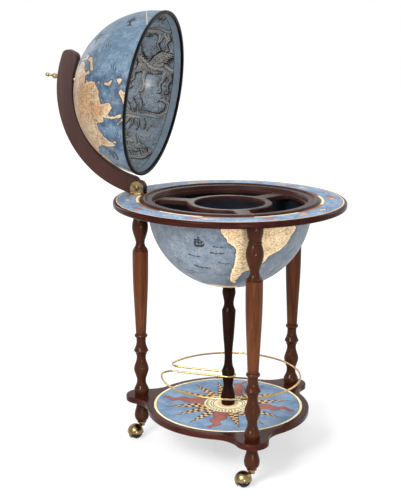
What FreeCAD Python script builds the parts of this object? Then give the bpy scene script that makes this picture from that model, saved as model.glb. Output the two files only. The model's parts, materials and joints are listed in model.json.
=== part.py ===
"""Floor globe bar: a globe that opens at its equator, on three turned legs over a shelf on casters.

Millimetres, +Z up. The origin is on the floor under the centre column. The lid's hinge is
on -X, above the left leg, and the lid is drawn open, resting on the heel of its arm.
"""
import FreeCAD
import Part
import math
import os

V = FreeCAD.Vector
UP = V(0, 0, 1)
ALONG_Y = V(0, 1, 0)

# Clearances
FIT = 0.2                 # between pieces that are fixed to each other
RUN = 0.05                # radial, between a pin and the bore that turns on it
MOVE_GAP = 0.4            # between faces of two pieces that move past each other

# Globe shells
GLOBE_R = 200.0           # outside radius of both hemispheres
SHELL_WALL = 4.0
LINER_WALL = 1.0          # printed lining inside the lid
BOWL_DROP = 2.0           # equator of the lower hemisphere below the underside of the ring
BOWL_SCREWS = 6
BOWL_SCREW_LENGTH = 12.0
BOWL_SCREW_R = 1.5
BOWL_SCREW_HEAD_R = 3.2
BOWL_SCREW_HEAD_H = 1.8

# Stand, from the floor up
CASTER_H = 40.0
FOOT_H = 60.0
SHELF_T = 15.0
LEG_H = 514.0
RING_T = 15.0
LEG_STANDOFF = 34.0       # leg axis outside the globe
LEG_ANGLES = {"left": 180.0, "front": 300.0, "back": 60.0}

# Shelf
SHELF_R = 205.0
LOBE_R = 40.0             # rounded corner under each leg
LOBE_FILLET_R = 70.0      # hollow curve between a corner and the round edge
SHELF_EDGE_R = 3.0
DISC_MARGIN = 15.5        # bare wood round the printed disc
PRINT_T = 1.0             # printed disc and band, let in flush

# Equator ring
RING_OVERHANG = 51.0      # outside the leg axes
RING_NOSE_R = 5.0
BAND_MARGIN = 7.0         # bare wood outside the printed band
BAND_GAP = 1.5            # between the tray's lip and the printed band

# Legs: radii, then heights above the shelf and depths below the ring
LEG_BASE_R = 16.5
LEG_FOOT_BULB_R = 19.4
LEG_WAIST_R = 12.1
LEG_RIDGE_R = 14.7
LEG_BALL_R = 19.2
LEG_RING_R = 18.6
LEG_BEAD_R = 16.9
LEG_TAPER_R = 13.2
LEG_SHOULDER_R = 20.2
LEG_QUIRK_R = 17.6
LEG_NECK_R = 11.4
LEG_BULB_R = 20.6
LEG_COLLAR_R = 16.2
LEG_CAP_WAIST_R = 14.8
LEG_CAP_R = 19.4
LEG_TOP_R = 18.3
LEG_FOOT_BULB_Z = 13.0
LEG_LOW_WAIST_Z = 33.0
LEG_RIDGE_Z = 49.0
LEG_RIDGE_H = 3.0
LEG_BALL_Z = 70.0
LEG_MID_WAIST_Z = 98.5
LEG_STEP_Z = 110.0
LEG_STEP_H = 4.0
LEG_RING_Z = 119.0
LEG_RING_H = 2.4
LEG_HIGH_WAIST_Z = 144.0
LEG_BEAD_Z = 159.0
LEG_BEAD_H = 7.2
LEG_SHOULDER_DEPTH = 131.0
LEG_QUIRK_H = 2.0
LEG_ASTRAGAL_H = 3.5
LEG_NECK_DEPTH = 111.0
LEG_BULB_DEPTH = 70.0
LEG_COLLAR_DEPTH = 41.0
LEG_COLLAR_H = 3.2
LEG_CAP_DEPTH = 15.0

# Feet
FOOT_TOP_R = 14.8
FOOT_NECK_R = 13.4
FOOT_BULB_R = 18.9
FOOT_END_R = 11.0
FOOT_BULB_Z = 19.0
FOOT_NECK_DEPTH = 15.0

# Centre column: radii, then heights above the shelf and depths below the globe
COLUMN_BASE_R = 16.5
COLUMN_BULB_R = 18.0
COLUMN_WAIST_R = 12.0
COLUMN_RAIL_R = 15.5      # where the rail grips it
COLUMN_BULGE_R = 16.5
COLUMN_TAPER_R = 10.4
COLUMN_SHOULDER_R = 17.6
COLUMN_NECK_R = 12.4
COLUMN_HEAD_R = 16.7
COLUMN_BULB_Z = 21.0
COLUMN_WAIST_Z = 49.0
COLUMN_RAIL_Z = 78.0
COLUMN_BULGE_Z = 86.0
COLUMN_TAPER_Z = 112.0
COLUMN_SHOULDER_DEPTH = 64.0
COLUMN_NECK_DEPTH = 48.0
COLUMN_HEAD_DEPTH = 19.0
COLUMN_TOP_R = 13.7
COLUMN_DISH = 3.0         # left above the globe's lowest point before the top is dished

# Gallery rail
WIRE_R = 2.5
RAIL_R = 175.0
RAIL_SHIFT = 7.0          # centre of the rail's circle, away from its slot
RAIL_BEND_R = 25.0

# Fixings of the stand
STUD_R = 4.0
STUD_IN_LEG = 26.0
STUD_IN_FOOT = 22.0
DOWEL_R = 5.0
DOWEL_IN_RING = 9.0
DOWEL_IN_LEG = 26.0
BOLT_R = 3.0
BOLT_HEAD_R = 7.0
BOLT_HEAD_H = 4.0
BOLT_IN_COLUMN = 30.0
HEAD_CROWN = 0.7          # rounding of a screw's or bolt's head, as a share of its height

# Tray inside the globe
TRAY_GAP = 3.0            # between the tray's body and the shell
TRAY_WALL = 2.5
LIP_R = 19.5              # the lip's outer edge beyond the globe
LIP_W = 13.0
LIP_H = 4.0
SEAT_H = 1.0              # the lid's seat above the ring
DECK_DROP = 8.0           # deck below the ring's top
DECK_T = 10.0
DECK_COVE = 3.5
DECK_EDGE_R = 3.0
HOLE_R = 86.0
HOLE_RIM_W = 18.0
RIB_W = 38.0
POCKET_MARGIN = 4.0        # between a pocket and the cove under the seat
POCKET_CORNER_R = 14.0
FLOOR_RISE = 92.0         # tray floor above the bottom of the bowl
FLOOR_T = 6.0
TRAY_SCREW_R = 1.6
TRAY_SCREW_HEAD_R = 3.2
TRAY_SCREW_HEAD_H = 2.2
TRAY_SCREW_IN_RING = 8.0

# Lid and its arm
OPEN_ANGLE = 82.0
TRIM_BASE = 1.5           # rim trim below the shell's edge
TRIM_WALL = 1.6
TRIM_H = 6.0
ARM_W = 24.0
ARM_GAP = 13.0            # inside of the arm beyond the globe
ARM_DEPTH = 42.0
ARM_SHIFT = 4.0           # arm's centre of curvature towards the pole
ARM_PAST_POLE = 17.0      # degrees
ARM_END_R = 15.0
ARM_EDGE_R = 2.0
POLE_BOLT_R = 3.0
POLE_SPACER_R = 8.0
POLE_HEAD_R = 9.0
POLE_HEAD_H = 4.0
FINIAL_H = 36.0
FINIAL_BASE_R = 8.0
FINIAL_BALL_R = 7.0
FINIAL_TIP_R = 4.6
FINIAL_NECK_R = 2.8
FINIAL_BASE_H = 2.0
FINIAL_BALL_Z = 11.5
FINIAL_NECK_Z = 20.0
FINIAL_TIP_H = 9.0
FINIAL_BORE = 14.0
HUB_R = 6.0               # sleeve that the lid's shell turns on
HUB_FLANGE_R = 11.0
HUB_FLANGE_T = 2.0
HUB_PROUD = 1.0

# Hinge
HINGE_OFFSET = 3.0        # pin outside the leg axis
HINGE_H = 16.0            # pin above the ring
PIN_R = 3.0
BUSH_R = 5.0
CHEEK_R = 17.0
CHEEK_T = 2.5
CHEEK_FOOT = 10.0
CHEEK_FOOT_T = 2.0
PIN_HEAD_R = 6.0
PIN_HEAD_H = 3.2
NUT_R = 5.5
NUT_H = 5.0
PIN_IN_NUT = 3.5
NUT_CROWN = 0.5           # rounding of the nut, as a share of its height
HINGE_SCREW_R = 1.5
HINGE_SCREW_HEAD_R = 3.0
HINGE_SCREW_HEAD_H = 1.6
HINGE_SCREW_IN_RING = 9.0
HINGE_SCREW_EDGE = 2.0    # head inside the foot's edge

# Twin-wheel casters
WHEEL_R = 17.0
WHEEL_BALL_R = 19.0       # rounded outer face
WHEEL_OUT = 16.5          # outer face from the middle
WHEEL_IN = 2.2            # inner face from the middle
HOOD_GAP = 0.5
HOOD_WALL = 1.5
HOOD_DROP = 1.0           # hood's edge below the axle
TONGUE_W = 9.0
TONGUE_Z = 5.0            # tongue's tip above the floor
WEB_T = 3.4
TRAIL = 23.0
AXLE_R = 2.0
AXLE_HEAD_R = 3.5
AXLE_HEAD_T = 1.4
STEM_R = 4.0
STEM_IN_FOOT = 26.0
STEM_IN_HOOD = 7.0
BOSS_R = 8.0
SOCKET_R = 5.5
SOCKET_PLATE_R = 12.0
SOCKET_PLATE_T = 3.0
CASTER_TURNS = {"left": 244.0, "front": 226.0, "back": 236.0}

# Levels and radii that follow from the sizes above
FOOT_TOP = CASTER_H + FOOT_H
SHELF_TOP = FOOT_TOP + SHELF_T
RING_BOTTOM = SHELF_TOP + LEG_H
RING_TOP = RING_BOTTOM + RING_T
LEG_CIRCLE_R = GLOBE_R + LEG_STANDOFF
RING_R = LEG_CIRCLE_R + RING_OVERHANG
RING_BORE_R = GLOBE_R + FIT
BOWL_Z = RING_BOTTOM - BOWL_DROP
BOWL_IN_R = GLOBE_R - SHELL_WALL
COLLAR_TOP = RING_TOP - MOVE_GAP
RAIL_Z = SHELF_TOP + COLUMN_RAIL_Z
RAIL_WRAP_R = COLUMN_RAIL_R + WIRE_R + FIT
DISC_R = SHELF_R - DISC_MARGIN
TRAY_BODY_R = BOWL_IN_R - TRAY_GAP
LIP_OUT_R = GLOBE_R + LIP_R
LIP_IN_R = LIP_OUT_R - LIP_W
SEAT_Z = RING_TOP + SEAT_H
SEAT_IN_R = TRAY_BODY_R - TRAY_WALL
DECK_TOP = RING_TOP - DECK_DROP
DECK_BOTTOM = DECK_TOP - DECK_T
DECK_R = SEAT_IN_R - DECK_COVE
POCKET_OUT_R = DECK_R - POCKET_MARGIN
POCKET_IN_R = HOLE_R + HOLE_RIM_W
BAND_IN_R = LIP_OUT_R + BAND_GAP
BAND_OUT_R = RING_R - BAND_MARGIN
RIM_Z = SEAT_Z + MOVE_GAP
HINGE_X = -(LEG_CIRCLE_R + HINGE_OFFSET)
HINGE_Z = RING_TOP + HINGE_H
PIN_POINT = V(HINGE_X, 0, HINGE_Z)
HEEL_R = HINGE_H - MOVE_GAP
ARM_CENTRE_Z = RIM_Z + ARM_SHIFT
ARM_IN_R = GLOBE_R + ARM_GAP
ARM_OUT_R = ARM_IN_R + ARM_DEPTH
KNUCKLE_R = ARM_OUT_R - math.hypot(HINGE_X, HINGE_Z - ARM_CENTRE_Z)
LINER_R = GLOBE_R - SHELL_WALL - FIT
LINER_IN_R = LINER_R - LINER_WALL
HUB_SEAT = RIM_Z + math.sqrt(LINER_IN_R ** 2 - HUB_FLANGE_R ** 2)
HUB_BOTTOM = HUB_SEAT - HUB_FLANGE_T
HUB_TOP = RIM_Z + GLOBE_R + HUB_PROUD
ARM_POLE_IN = ARM_CENTRE_Z + ARM_IN_R
ARM_POLE_OUT = ARM_CENTRE_Z + ARM_OUT_R
CHEEK_IN = ARM_W / 2 + MOVE_GAP
CHEEK_OUT = CHEEK_IN + CHEEK_T
HOOD_IN_R = WHEEL_BALL_R + HOOD_GAP
HOOD_R = HOOD_IN_R + HOOD_WALL
SOCKET_BOTTOM = CASTER_H - SOCKET_PLATE_T
BOSS_TOP = SOCKET_BOTTOM - MOVE_GAP


def polar(radius, angle, z=0.0):
    """Point at a radius and an angle in degrees about the Z axis."""
    turn = math.radians(angle)
    return V(radius * math.cos(turn), radius * math.sin(turn), z)


def line(start, end):
    return Part.LineSegment(start, end).toShape()


def arc(start, through, end):
    return Part.Arc(start, through, end).toShape()


def rod(radius, bottom, top, at=V(0, 0, 0)):
    """Upright cylinder on the axis through a point, between two levels."""
    return Part.makeCylinder(radius, top - bottom, V(at.x, at.y, bottom), UP)


def block(x0, x1, y0, y1, z0, z1):
    return Part.makeBox(x1 - x0, y1 - y0, z1 - z0, V(x0, y0, z0))


def turned(start, *strokes):
    """Solid turned about Z. Each stroke is a list of (radius, height) points: one point is a
    straight cut, several are one smooth curve from where the last stroke ended."""
    at = V(start[0], 0, start[1])
    edges = [line(V(0, 0, at.z), at)]
    for stroke in strokes:
        points = [at] + [V(r, 0, z) for r, z in stroke]
        if len(points) == 2:
            edges.append(line(*points))
        else:
            curve = Part.BSplineCurve()
            curve.interpolate(points)
            edges.append(curve.toShape())
        at = points[-1]
    edges.append(line(at, V(0, 0, at.z)))
    edges.append(line(V(0, 0, at.z), V(0, 0, start[1])))
    return Part.Face(Part.Wire(edges)).revolve(V(0, 0, 0), UP, 360)


def ring_solid(outline):
    """Solid turned about Z from a closed outline of (radius, height) corners. A corner given as a
    pair of points is the middle and the end of an arc."""
    first = V(outline[0][0], 0, outline[0][1])
    at = first
    edges = []
    for corner in outline[1:] + [outline[0]]:
        if isinstance(corner[0], tuple):
            through, end = (V(r, 0, z) for r, z in corner)
            edges.append(arc(at, through, end))
        else:
            end = V(corner[0], 0, corner[1])
            edges.append(line(at, end))
        at = end
    return Part.Face(Part.Wire(edges)).revolve(V(0, 0, 0), UP, 360)


def leg_axes():
    """Foot of each leg's axis, by the leg's name."""
    return {name: polar(LEG_CIRCLE_R, angle) for name, angle in LEG_ANGLES.items()}


def around(radius, count, first=0.0):
    """Evenly spaced angles for a pattern, with the points at that radius."""
    angles = [first + 360.0 * i / count for i in range(count)]
    return [(angle, polar(radius, angle)) for angle in angles]


# Stand

def shelf_outline():
    """Round shelf with a rounded corner under each leg and a hollow curve on both its sides."""
    reach = SHELF_R + LOBE_FILLET_R
    far = LOBE_R + LOBE_FILLET_R
    hollow_x = (reach ** 2 + LEG_CIRCLE_R ** 2 - far ** 2) / (2 * LEG_CIRCLE_R)
    hollow = math.degrees(math.acos(hollow_x / reach))
    edges = []
    angles = sorted(LEG_ANGLES.values())
    for angle, following in zip(angles, angles[1:] + [angles[0] + 360]):
        corner = polar(LEG_CIRCLE_R, angle)
        sides = []
        for side in (-1, 1):
            centre = polar(reach, angle + side * hollow)
            on_round = polar(SHELF_R, angle + side * hollow)
            on_corner = corner + (centre - corner) * (LOBE_R / far)
            inward = (on_round + on_corner) * 0.5 - centre
            middle = centre + inward * (LOBE_FILLET_R / inward.Length)
            sides.append((on_round, middle, on_corner))
        before, after = sides
        edges.append(arc(*before))
        edges.append(arc(before[2], polar(LEG_CIRCLE_R + LOBE_R, angle), after[2]))
        edges.append(arc(after[2], after[1], after[0]))
        half_way = (angle + following) / 2
        edges.append(arc(after[0], polar(SHELF_R, half_way), polar(SHELF_R, following - hollow)))
    return Part.Wire(edges)


def shelf_board():
    board = Part.Face(shelf_outline()).extrude(V(0, 0, SHELF_T))
    board = board.makeFillet(SHELF_EDGE_R, [e for e in board.Edges if e.BoundBox.ZLength < FIT])
    board.translate(V(0, 0, FOOT_TOP))
    cuts = [rod(DISC_R + FIT, SHELF_TOP - PRINT_T, SHELF_TOP + FIT)]
    cuts.append(rod(BOLT_R + FIT, FOOT_TOP, SHELF_TOP))
    cuts += [rod(STUD_R + FIT, FOOT_TOP, SHELF_TOP, at) for at in leg_axes().values()]
    return board.cut(cuts)


def compass_disc():
    disc = rod(DISC_R, SHELF_TOP - PRINT_T, SHELF_TOP)
    return disc.cut(rod(BOLT_R + FIT, SHELF_TOP - PRINT_T, SHELF_TOP))


def mix(first, last, share):
    return first + (last - first) * share


def leg(at):
    """One turned leg, from the shelf to the ring. The plain shaft takes up any change of length."""
    shoulder = LEG_H - LEG_SHOULDER_DEPTH
    astragal = shoulder + LEG_QUIRK_H
    neck = LEG_H - LEG_NECK_DEPTH
    bulb = LEG_H - LEG_BULB_DEPTH
    collar = LEG_H - LEG_COLLAR_DEPTH
    cap = LEG_H - LEG_CAP_DEPTH
    ridge_top = LEG_RIDGE_Z + LEG_RIDGE_H
    ring_low = LEG_RING_Z - LEG_RING_H / 2
    ring_high = LEG_RING_Z + LEG_RING_H / 2
    bead_low = LEG_BEAD_Z - LEG_BEAD_H / 2
    bead_high = LEG_BEAD_Z + LEG_BEAD_H / 2
    bead_edge = mix(LEG_WAIST_R, LEG_BEAD_R, 0.65)

    def on_shaft(share, swell):
        return (mix(LEG_TAPER_R, LEG_SHOULDER_R, swell), mix(bead_high, shoulder, share))

    solid = turned(
        (LEG_BASE_R, 0.0),
        [(LEG_FOOT_BULB_R, LEG_FOOT_BULB_Z),
         (mix(LEG_WAIST_R, LEG_FOOT_BULB_R, 0.33), mix(LEG_LOW_WAIST_Z, LEG_FOOT_BULB_Z, 0.4)),
         (LEG_WAIST_R, LEG_LOW_WAIST_Z), (mix(LEG_WAIST_R, LEG_RIDGE_R, 0.4), LEG_RIDGE_Z)],
        [(LEG_RIDGE_R, LEG_RIDGE_Z)],
        [(LEG_RIDGE_R, ridge_top)],
        [(LEG_BALL_R, LEG_BALL_Z),
         (mix(LEG_WAIST_R, LEG_BALL_R, 0.4), mix(LEG_MID_WAIST_Z, LEG_BALL_Z, 0.44)),
         (LEG_WAIST_R, LEG_MID_WAIST_Z), (mix(LEG_WAIST_R, LEG_RIDGE_R, 0.4), LEG_STEP_Z)],
        [(LEG_RIDGE_R, LEG_STEP_Z)],
        [(LEG_RIDGE_R, LEG_STEP_Z + LEG_STEP_H)],
        [(LEG_RING_R, ring_low)],
        [(LEG_RING_R, ring_high)],
        [(mix(LEG_WAIST_R, LEG_RING_R, 0.28), mix(LEG_RING_Z, LEG_HIGH_WAIST_Z, 0.52)),
         (LEG_WAIST_R, LEG_HIGH_WAIST_Z), (mix(LEG_WAIST_R, LEG_BEAD_R, 0.12), bead_low)],
        [(bead_edge, bead_low)],
        [(LEG_BEAD_R, LEG_BEAD_Z), (bead_edge, bead_high)],
        [(LEG_TAPER_R, bead_high)],
        [on_shaft(0.3, 0.44), on_shaft(0.55, 0.81), on_shaft(0.8, 1.0), (LEG_SHOULDER_R, shoulder)],
        [(LEG_QUIRK_R, astragal)],
        [(mix(LEG_QUIRK_R, LEG_SHOULDER_R, 0.46), astragal + LEG_ASTRAGAL_H * 0.43),
         (LEG_QUIRK_R, astragal + LEG_ASTRAGAL_H)],
        [(mix(LEG_NECK_R, LEG_QUIRK_R, 0.36), mix(neck, astragal + LEG_ASTRAGAL_H, 0.6)), (LEG_NECK_R, neck),
         (mix(LEG_NECK_R, LEG_BULB_R, 0.37), mix(neck, bulb, 0.37)), (LEG_BULB_R, bulb),
         (mix(LEG_CAP_WAIST_R, LEG_COLLAR_R, 0.43), collar - LEG_COLLAR_H)],
        [(LEG_COLLAR_R, collar - LEG_COLLAR_H * 0.75)],
        [(LEG_COLLAR_R, collar + LEG_COLLAR_H * 0.25)],
        [(LEG_CAP_WAIST_R, collar + LEG_COLLAR_H * 0.5)],
        [(mix(LEG_CAP_WAIST_R, LEG_CAP_R, 0.65), mix(collar, cap, 0.6)), (LEG_CAP_R, cap), (LEG_TOP_R, LEG_H)],
    )
    solid = solid.cut([rod(STUD_R, 0.0, STUD_IN_LEG), rod(DOWEL_R, LEG_H - DOWEL_IN_LEG, LEG_H)])
    solid.translate(at + V(0, 0, SHELF_TOP))
    return solid


def foot(at):
    """Turned foot under the shelf, bored for the stud above and the caster's socket below."""
    neck = FOOT_H - FOOT_NECK_DEPTH
    solid = turned(
        (FOOT_END_R, 0.0),
        [(mix(FOOT_END_R, FOOT_BULB_R, 0.67), FOOT_BULB_Z * 0.34), (FOOT_BULB_R, FOOT_BULB_Z),
         (mix(FOOT_NECK_R, FOOT_BULB_R, 0.56), mix(FOOT_BULB_Z, neck, 0.5)),
         (FOOT_NECK_R, neck), (FOOT_TOP_R, FOOT_H)],
    )
    socket_hole = rod(SOCKET_R + FIT, 0.0, STEM_IN_FOOT + FIT)
    stud_hole = rod(STUD_R, FOOT_H - STUD_IN_FOOT, FOOT_H)
    solid = solid.cut([socket_hole, stud_hole])
    solid.translate(at + V(0, 0, CASTER_H))
    return solid


def leg_studs():
    low = FOOT_TOP - STUD_IN_FOOT
    high = SHELF_TOP + STUD_IN_LEG
    return Part.makeCompound([rod(STUD_R, low, high, at) for at in leg_axes().values()])


def ring_dowels():
    low = RING_BOTTOM - DOWEL_IN_LEG
    high = RING_BOTTOM + DOWEL_IN_RING
    return Part.makeCompound([rod(DOWEL_R, low, high, at) for at in leg_axes().values()])


def centre_column():
    """Turned column from the shelf to the globe, dished on top and grooved for the rail."""
    top = BOWL_Z - GLOBE_R - SHELF_TOP
    head = top - COLUMN_HEAD_DEPTH
    neck = top - COLUMN_NECK_DEPTH
    shoulder = top - COLUMN_SHOULDER_DEPTH

    def on_shaft(share, swell):
        return (mix(COLUMN_TAPER_R, COLUMN_SHOULDER_R, swell), mix(COLUMN_TAPER_Z, shoulder, share))

    solid = turned(
        (COLUMN_BASE_R, 0.0),
        [(mix(COLUMN_BASE_R, COLUMN_BULB_R, 0.75), COLUMN_BULB_Z * 0.5)],
        [(COLUMN_BULB_R, COLUMN_BULB_Z),
         (mix(COLUMN_WAIST_R, COLUMN_BULB_R, 0.43), mix(COLUMN_WAIST_Z, COLUMN_BULB_Z, 0.43)),
         (COLUMN_WAIST_R, COLUMN_WAIST_Z),
         (mix(COLUMN_WAIST_R, COLUMN_RAIL_R, 0.57), mix(COLUMN_WAIST_Z, COLUMN_RAIL_Z, 0.58)),
         (COLUMN_RAIL_R, COLUMN_RAIL_Z - WIRE_R)],
        [(COLUMN_RAIL_R, COLUMN_RAIL_Z + WIRE_R)],
        [(COLUMN_BULGE_R, COLUMN_BULGE_Z),
         (mix(COLUMN_TAPER_R, COLUMN_BULGE_R, 0.33), mix(COLUMN_TAPER_Z, COLUMN_BULGE_Z, 0.46)),
         (COLUMN_TAPER_R, COLUMN_TAPER_Z), on_shaft(0.45, 0.36), on_shaft(0.8, 0.8),
         (COLUMN_SHOULDER_R, shoulder)],
        [(mix(COLUMN_NECK_R, COLUMN_SHOULDER_R, 0.31), mix(neck, shoulder, 0.5)), (COLUMN_NECK_R, neck),
         (mix(COLUMN_NECK_R, COLUMN_HEAD_R, 0.44), mix(neck, head, 0.55)), (COLUMN_HEAD_R, head),
         (COLUMN_TOP_R, top + COLUMN_DISH)],
    )
    solid.translate(V(0, 0, SHELF_TOP))
    groove = Part.makeTorus(RAIL_WRAP_R, WIRE_R + FIT, V(0, 0, RAIL_Z), UP)
    dish = Part.makeSphere(GLOBE_R + FIT, V(0, 0, BOWL_Z))
    low_hole = rod(BOLT_R, SHELF_TOP, SHELF_TOP + BOLT_IN_COLUMN)
    high_hole = rod(BOLT_R, SHELF_TOP + top - BOLT_IN_COLUMN, SHELF_TOP + top + COLUMN_DISH)
    return solid.cut([groove, dish, low_hole, high_hole])


def column_bolts():
    """One bolt up through the shelf and one down through the bottom of the globe."""
    low = rod(BOLT_R, FOOT_TOP - FIT, SHELF_TOP + BOLT_IN_COLUMN)
    low = low.fuse(rod(BOLT_HEAD_R, FOOT_TOP - BOLT_HEAD_H, FOOT_TOP))
    rise = BOWL_IN_R - math.sqrt(BOWL_IN_R ** 2 - BOLT_HEAD_R ** 2)
    seat = BOWL_Z - BOWL_IN_R + rise
    high = rod(BOLT_R, BOWL_Z - GLOBE_R - BOLT_IN_COLUMN, seat + FIT)
    high = high.fuse(rod(BOLT_HEAD_R, seat, seat + BOLT_HEAD_H))
    return Part.makeCompound([low, high])


def gallery_rail():
    """Bent wire: most of a circle, turned in at the left to grip the column and come out again."""
    hub = V(RAIL_SHIFT, 0, 0)
    bend_y = RAIL_WRAP_R + RAIL_BEND_R
    bend_x = RAIL_SHIFT - math.sqrt((RAIL_R - RAIL_BEND_R) ** 2 - bend_y ** 2)
    sides = {}
    for side in (-1, 1):
        centre = V(bend_x, side * bend_y, 0)
        on_slot = V(bend_x, side * RAIL_WRAP_R, 0)
        on_circle = hub + (centre - hub) * (RAIL_R / (RAIL_R - RAIL_BEND_R))
        outward = (on_slot + on_circle) * 0.5 - centre
        sides[side] = (on_slot, centre + outward * (RAIL_BEND_R / outward.Length), on_circle)
    far_side = hub + V(RAIL_R, 0, 0)
    start_low = V(0, -RAIL_WRAP_R, 0)
    start_high = V(0, RAIL_WRAP_R, 0)
    path = [
        arc(start_low, V(RAIL_WRAP_R, 0, 0), start_high),
        line(start_high, sides[1][0]),
        arc(*sides[1]),
        arc(sides[1][2], hub + V(0, RAIL_R, 0), far_side),
        arc(far_side, hub - V(0, RAIL_R, 0), sides[-1][2]),
        arc(sides[-1][2], sides[-1][1], sides[-1][0]),
        line(sides[-1][0], start_low),
    ]
    section = Part.Wire(Part.makeCircle(WIRE_R, start_low, V(1, 0, 0)))
    rail = Part.Wire(path).makePipeShell([section], True, False)
    rail.translate(V(0, 0, RAIL_Z))
    return rail


# Ring, bowl and tray

def equator_ring():
    """Flat wooden ring with a rounded nose, let in for the printed band and bored for the dowels."""
    corner = RING_NOSE_R * (1 - math.sqrt(0.5))
    nose = RING_R - RING_NOSE_R
    board = ring_solid([
        (RING_BORE_R, RING_BOTTOM),
        (nose, RING_BOTTOM),
        ((RING_R - corner, RING_BOTTOM + corner), (RING_R, RING_BOTTOM + RING_NOSE_R)),
        (RING_R, RING_TOP - RING_NOSE_R),
        ((RING_R - corner, RING_TOP - corner), (nose, RING_TOP)),
        (RING_BORE_R, RING_TOP),
    ])
    recess = rod(BAND_OUT_R + FIT, RING_TOP - PRINT_T, RING_TOP + FIT)
    recess = recess.cut(rod(BAND_IN_R - FIT, RING_TOP - PRINT_T, RING_TOP + FIT))
    holes = [rod(DOWEL_R, RING_BOTTOM, RING_BOTTOM + DOWEL_IN_RING, at) for at in leg_axes().values()]
    holes += [screw_hole(at) for _, at in tray_screw_places()]
    holes += [hinge_screw_hole(x, y) for x, y in hinge_screw_places()]
    holes += [bowl_screw_shank(angle) for angle, _ in bowl_screw_places()]
    return board.cut([recess] + holes)


def ring_band():
    band = rod(BAND_OUT_R, RING_TOP - PRINT_T, RING_TOP)
    band = band.cut(rod(BAND_IN_R, RING_TOP - PRINT_T, RING_TOP))
    return band.cut([hinge_screw_hole(x, y) for x, y in hinge_screw_places()])


def bowl_shell():
    """Lower hemisphere with a straight collar that stands in the bore of the ring."""
    half = math.sqrt(0.5)
    shell = ring_solid([
        (0.0, BOWL_Z - GLOBE_R),
        ((GLOBE_R * half, BOWL_Z - GLOBE_R * half), (GLOBE_R, BOWL_Z)),
        (GLOBE_R, COLLAR_TOP),
        (BOWL_IN_R, COLLAR_TOP),
        (BOWL_IN_R, BOWL_Z),
        ((BOWL_IN_R * half, BOWL_Z - BOWL_IN_R * half), (0.0, BOWL_Z - BOWL_IN_R)),
    ])
    bolt_hole = rod(BOLT_R + FIT, BOWL_Z - GLOBE_R - FIT, BOWL_Z - BOWL_IN_R + SHELL_WALL)
    return shell.cut([bolt_hole] + [bowl_screw_shank(angle) for angle, _ in bowl_screw_places()])


def bowl_screw_places():
    """Evenly round the collar, half a step on from the first leg."""
    return around(BOWL_IN_R, BOWL_SCREWS, 180.0 / BOWL_SCREWS)


def bowl_screw_z():
    return (RING_BOTTOM + RING_TOP) / 2


def bowl_screw_shank(angle):
    """Radial shank from the inside of the collar into the ring."""
    start = polar(BOWL_IN_R - FIT, angle, bowl_screw_z())
    return Part.makeCylinder(BOWL_SCREW_R, BOWL_SCREW_LENGTH, start, polar(1.0, angle))


def bowl_screws():
    screws = []
    for angle, _ in bowl_screw_places():
        start = polar(BOWL_IN_R - FIT - BOWL_SCREW_HEAD_H, angle, bowl_screw_z())
        head = Part.makeCylinder(BOWL_SCREW_HEAD_R, BOWL_SCREW_HEAD_H, start, polar(1.0, angle))
        screws.append(head.fuse(bowl_screw_shank(angle)))
    return Part.makeCompound(screws)


def pockets():
    """Three kidney-shaped openings between the ribs, which lie over the legs."""
    low = DECK_BOTTOM - FIT
    high = DECK_TOP + FIT
    space = rod(POCKET_OUT_R, low, high).cut(rod(POCKET_IN_R, low, high))
    ribs = []
    for angle in LEG_ANGLES.values():
        rib = block(0, POCKET_OUT_R * 2, -RIB_W / 2, RIB_W / 2, low, high)
        rib.rotate(V(0, 0, 0), UP, angle)
        ribs.append(rib)
    solids = []
    for solid in space.cut(ribs).Solids:
        upright = [e for e in solid.Edges if e.BoundBox.ZLength > DECK_T]
        solids.append(solid.makeFillet(POCKET_CORNER_R, upright))
    return solids


def tray_deck():
    """Moulded tray: a lip on the ring, a seat for the lid's rim and a deck with a round hole and
    three pockets, their top edges rounded."""
    lip_mid = (LIP_OUT_R + LIP_IN_R) / 2
    cove = (SEAT_IN_R - DECK_COVE * 0.75, (SEAT_Z + DECK_TOP) / 2 - DECK_COVE * 0.25)
    body = ring_solid([
        (0.0, DECK_BOTTOM),
        (TRAY_BODY_R, DECK_BOTTOM),
        (TRAY_BODY_R, RING_TOP),
        (LIP_OUT_R, RING_TOP),
        ((lip_mid, RING_TOP + LIP_H), (LIP_IN_R, SEAT_Z)),
        (SEAT_IN_R, SEAT_Z),
        (cove, (DECK_R, DECK_TOP)),
        (0.0, DECK_TOP),
    ])
    hole = rod(HOLE_R, DECK_BOTTOM - FIT, DECK_TOP + FIT)
    body = body.cut([hole] + pockets())
    round_over = []
    for edge in body.Edges:
        flat_on_deck = edge.BoundBox.ZLength < FIT and abs(edge.BoundBox.ZMin - DECK_TOP) < FIT
        farthest = max(math.hypot(p.x, p.y) for p in edge.discretize(8))
        if flat_on_deck and farthest < POCKET_OUT_R + FIT:
            round_over.append(edge)
    body = body.makeFillet(DECK_EDGE_R, round_over)
    screws = tray_screw_places()
    seats = [rod(TRAY_SCREW_HEAD_R + FIT, tray_screw_seat(), SEAT_Z + LIP_H * 2, at) for _, at in screws]
    return body.cut(seats + [screw_hole(at) for _, at in screws])


def tray_screw_places():
    """Over the legs, in the middle of the lip."""
    angles = LEG_ANGLES.values()
    return [(angle, polar((LIP_OUT_R + LIP_IN_R) / 2, angle)) for angle in angles]


def tray_screw_seat():
    return RING_TOP + LIP_H - TRAY_SCREW_HEAD_H / 2


def screw_hole(at):
    return rod(TRAY_SCREW_R, RING_TOP - TRAY_SCREW_IN_RING, tray_screw_seat(), at)


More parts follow.
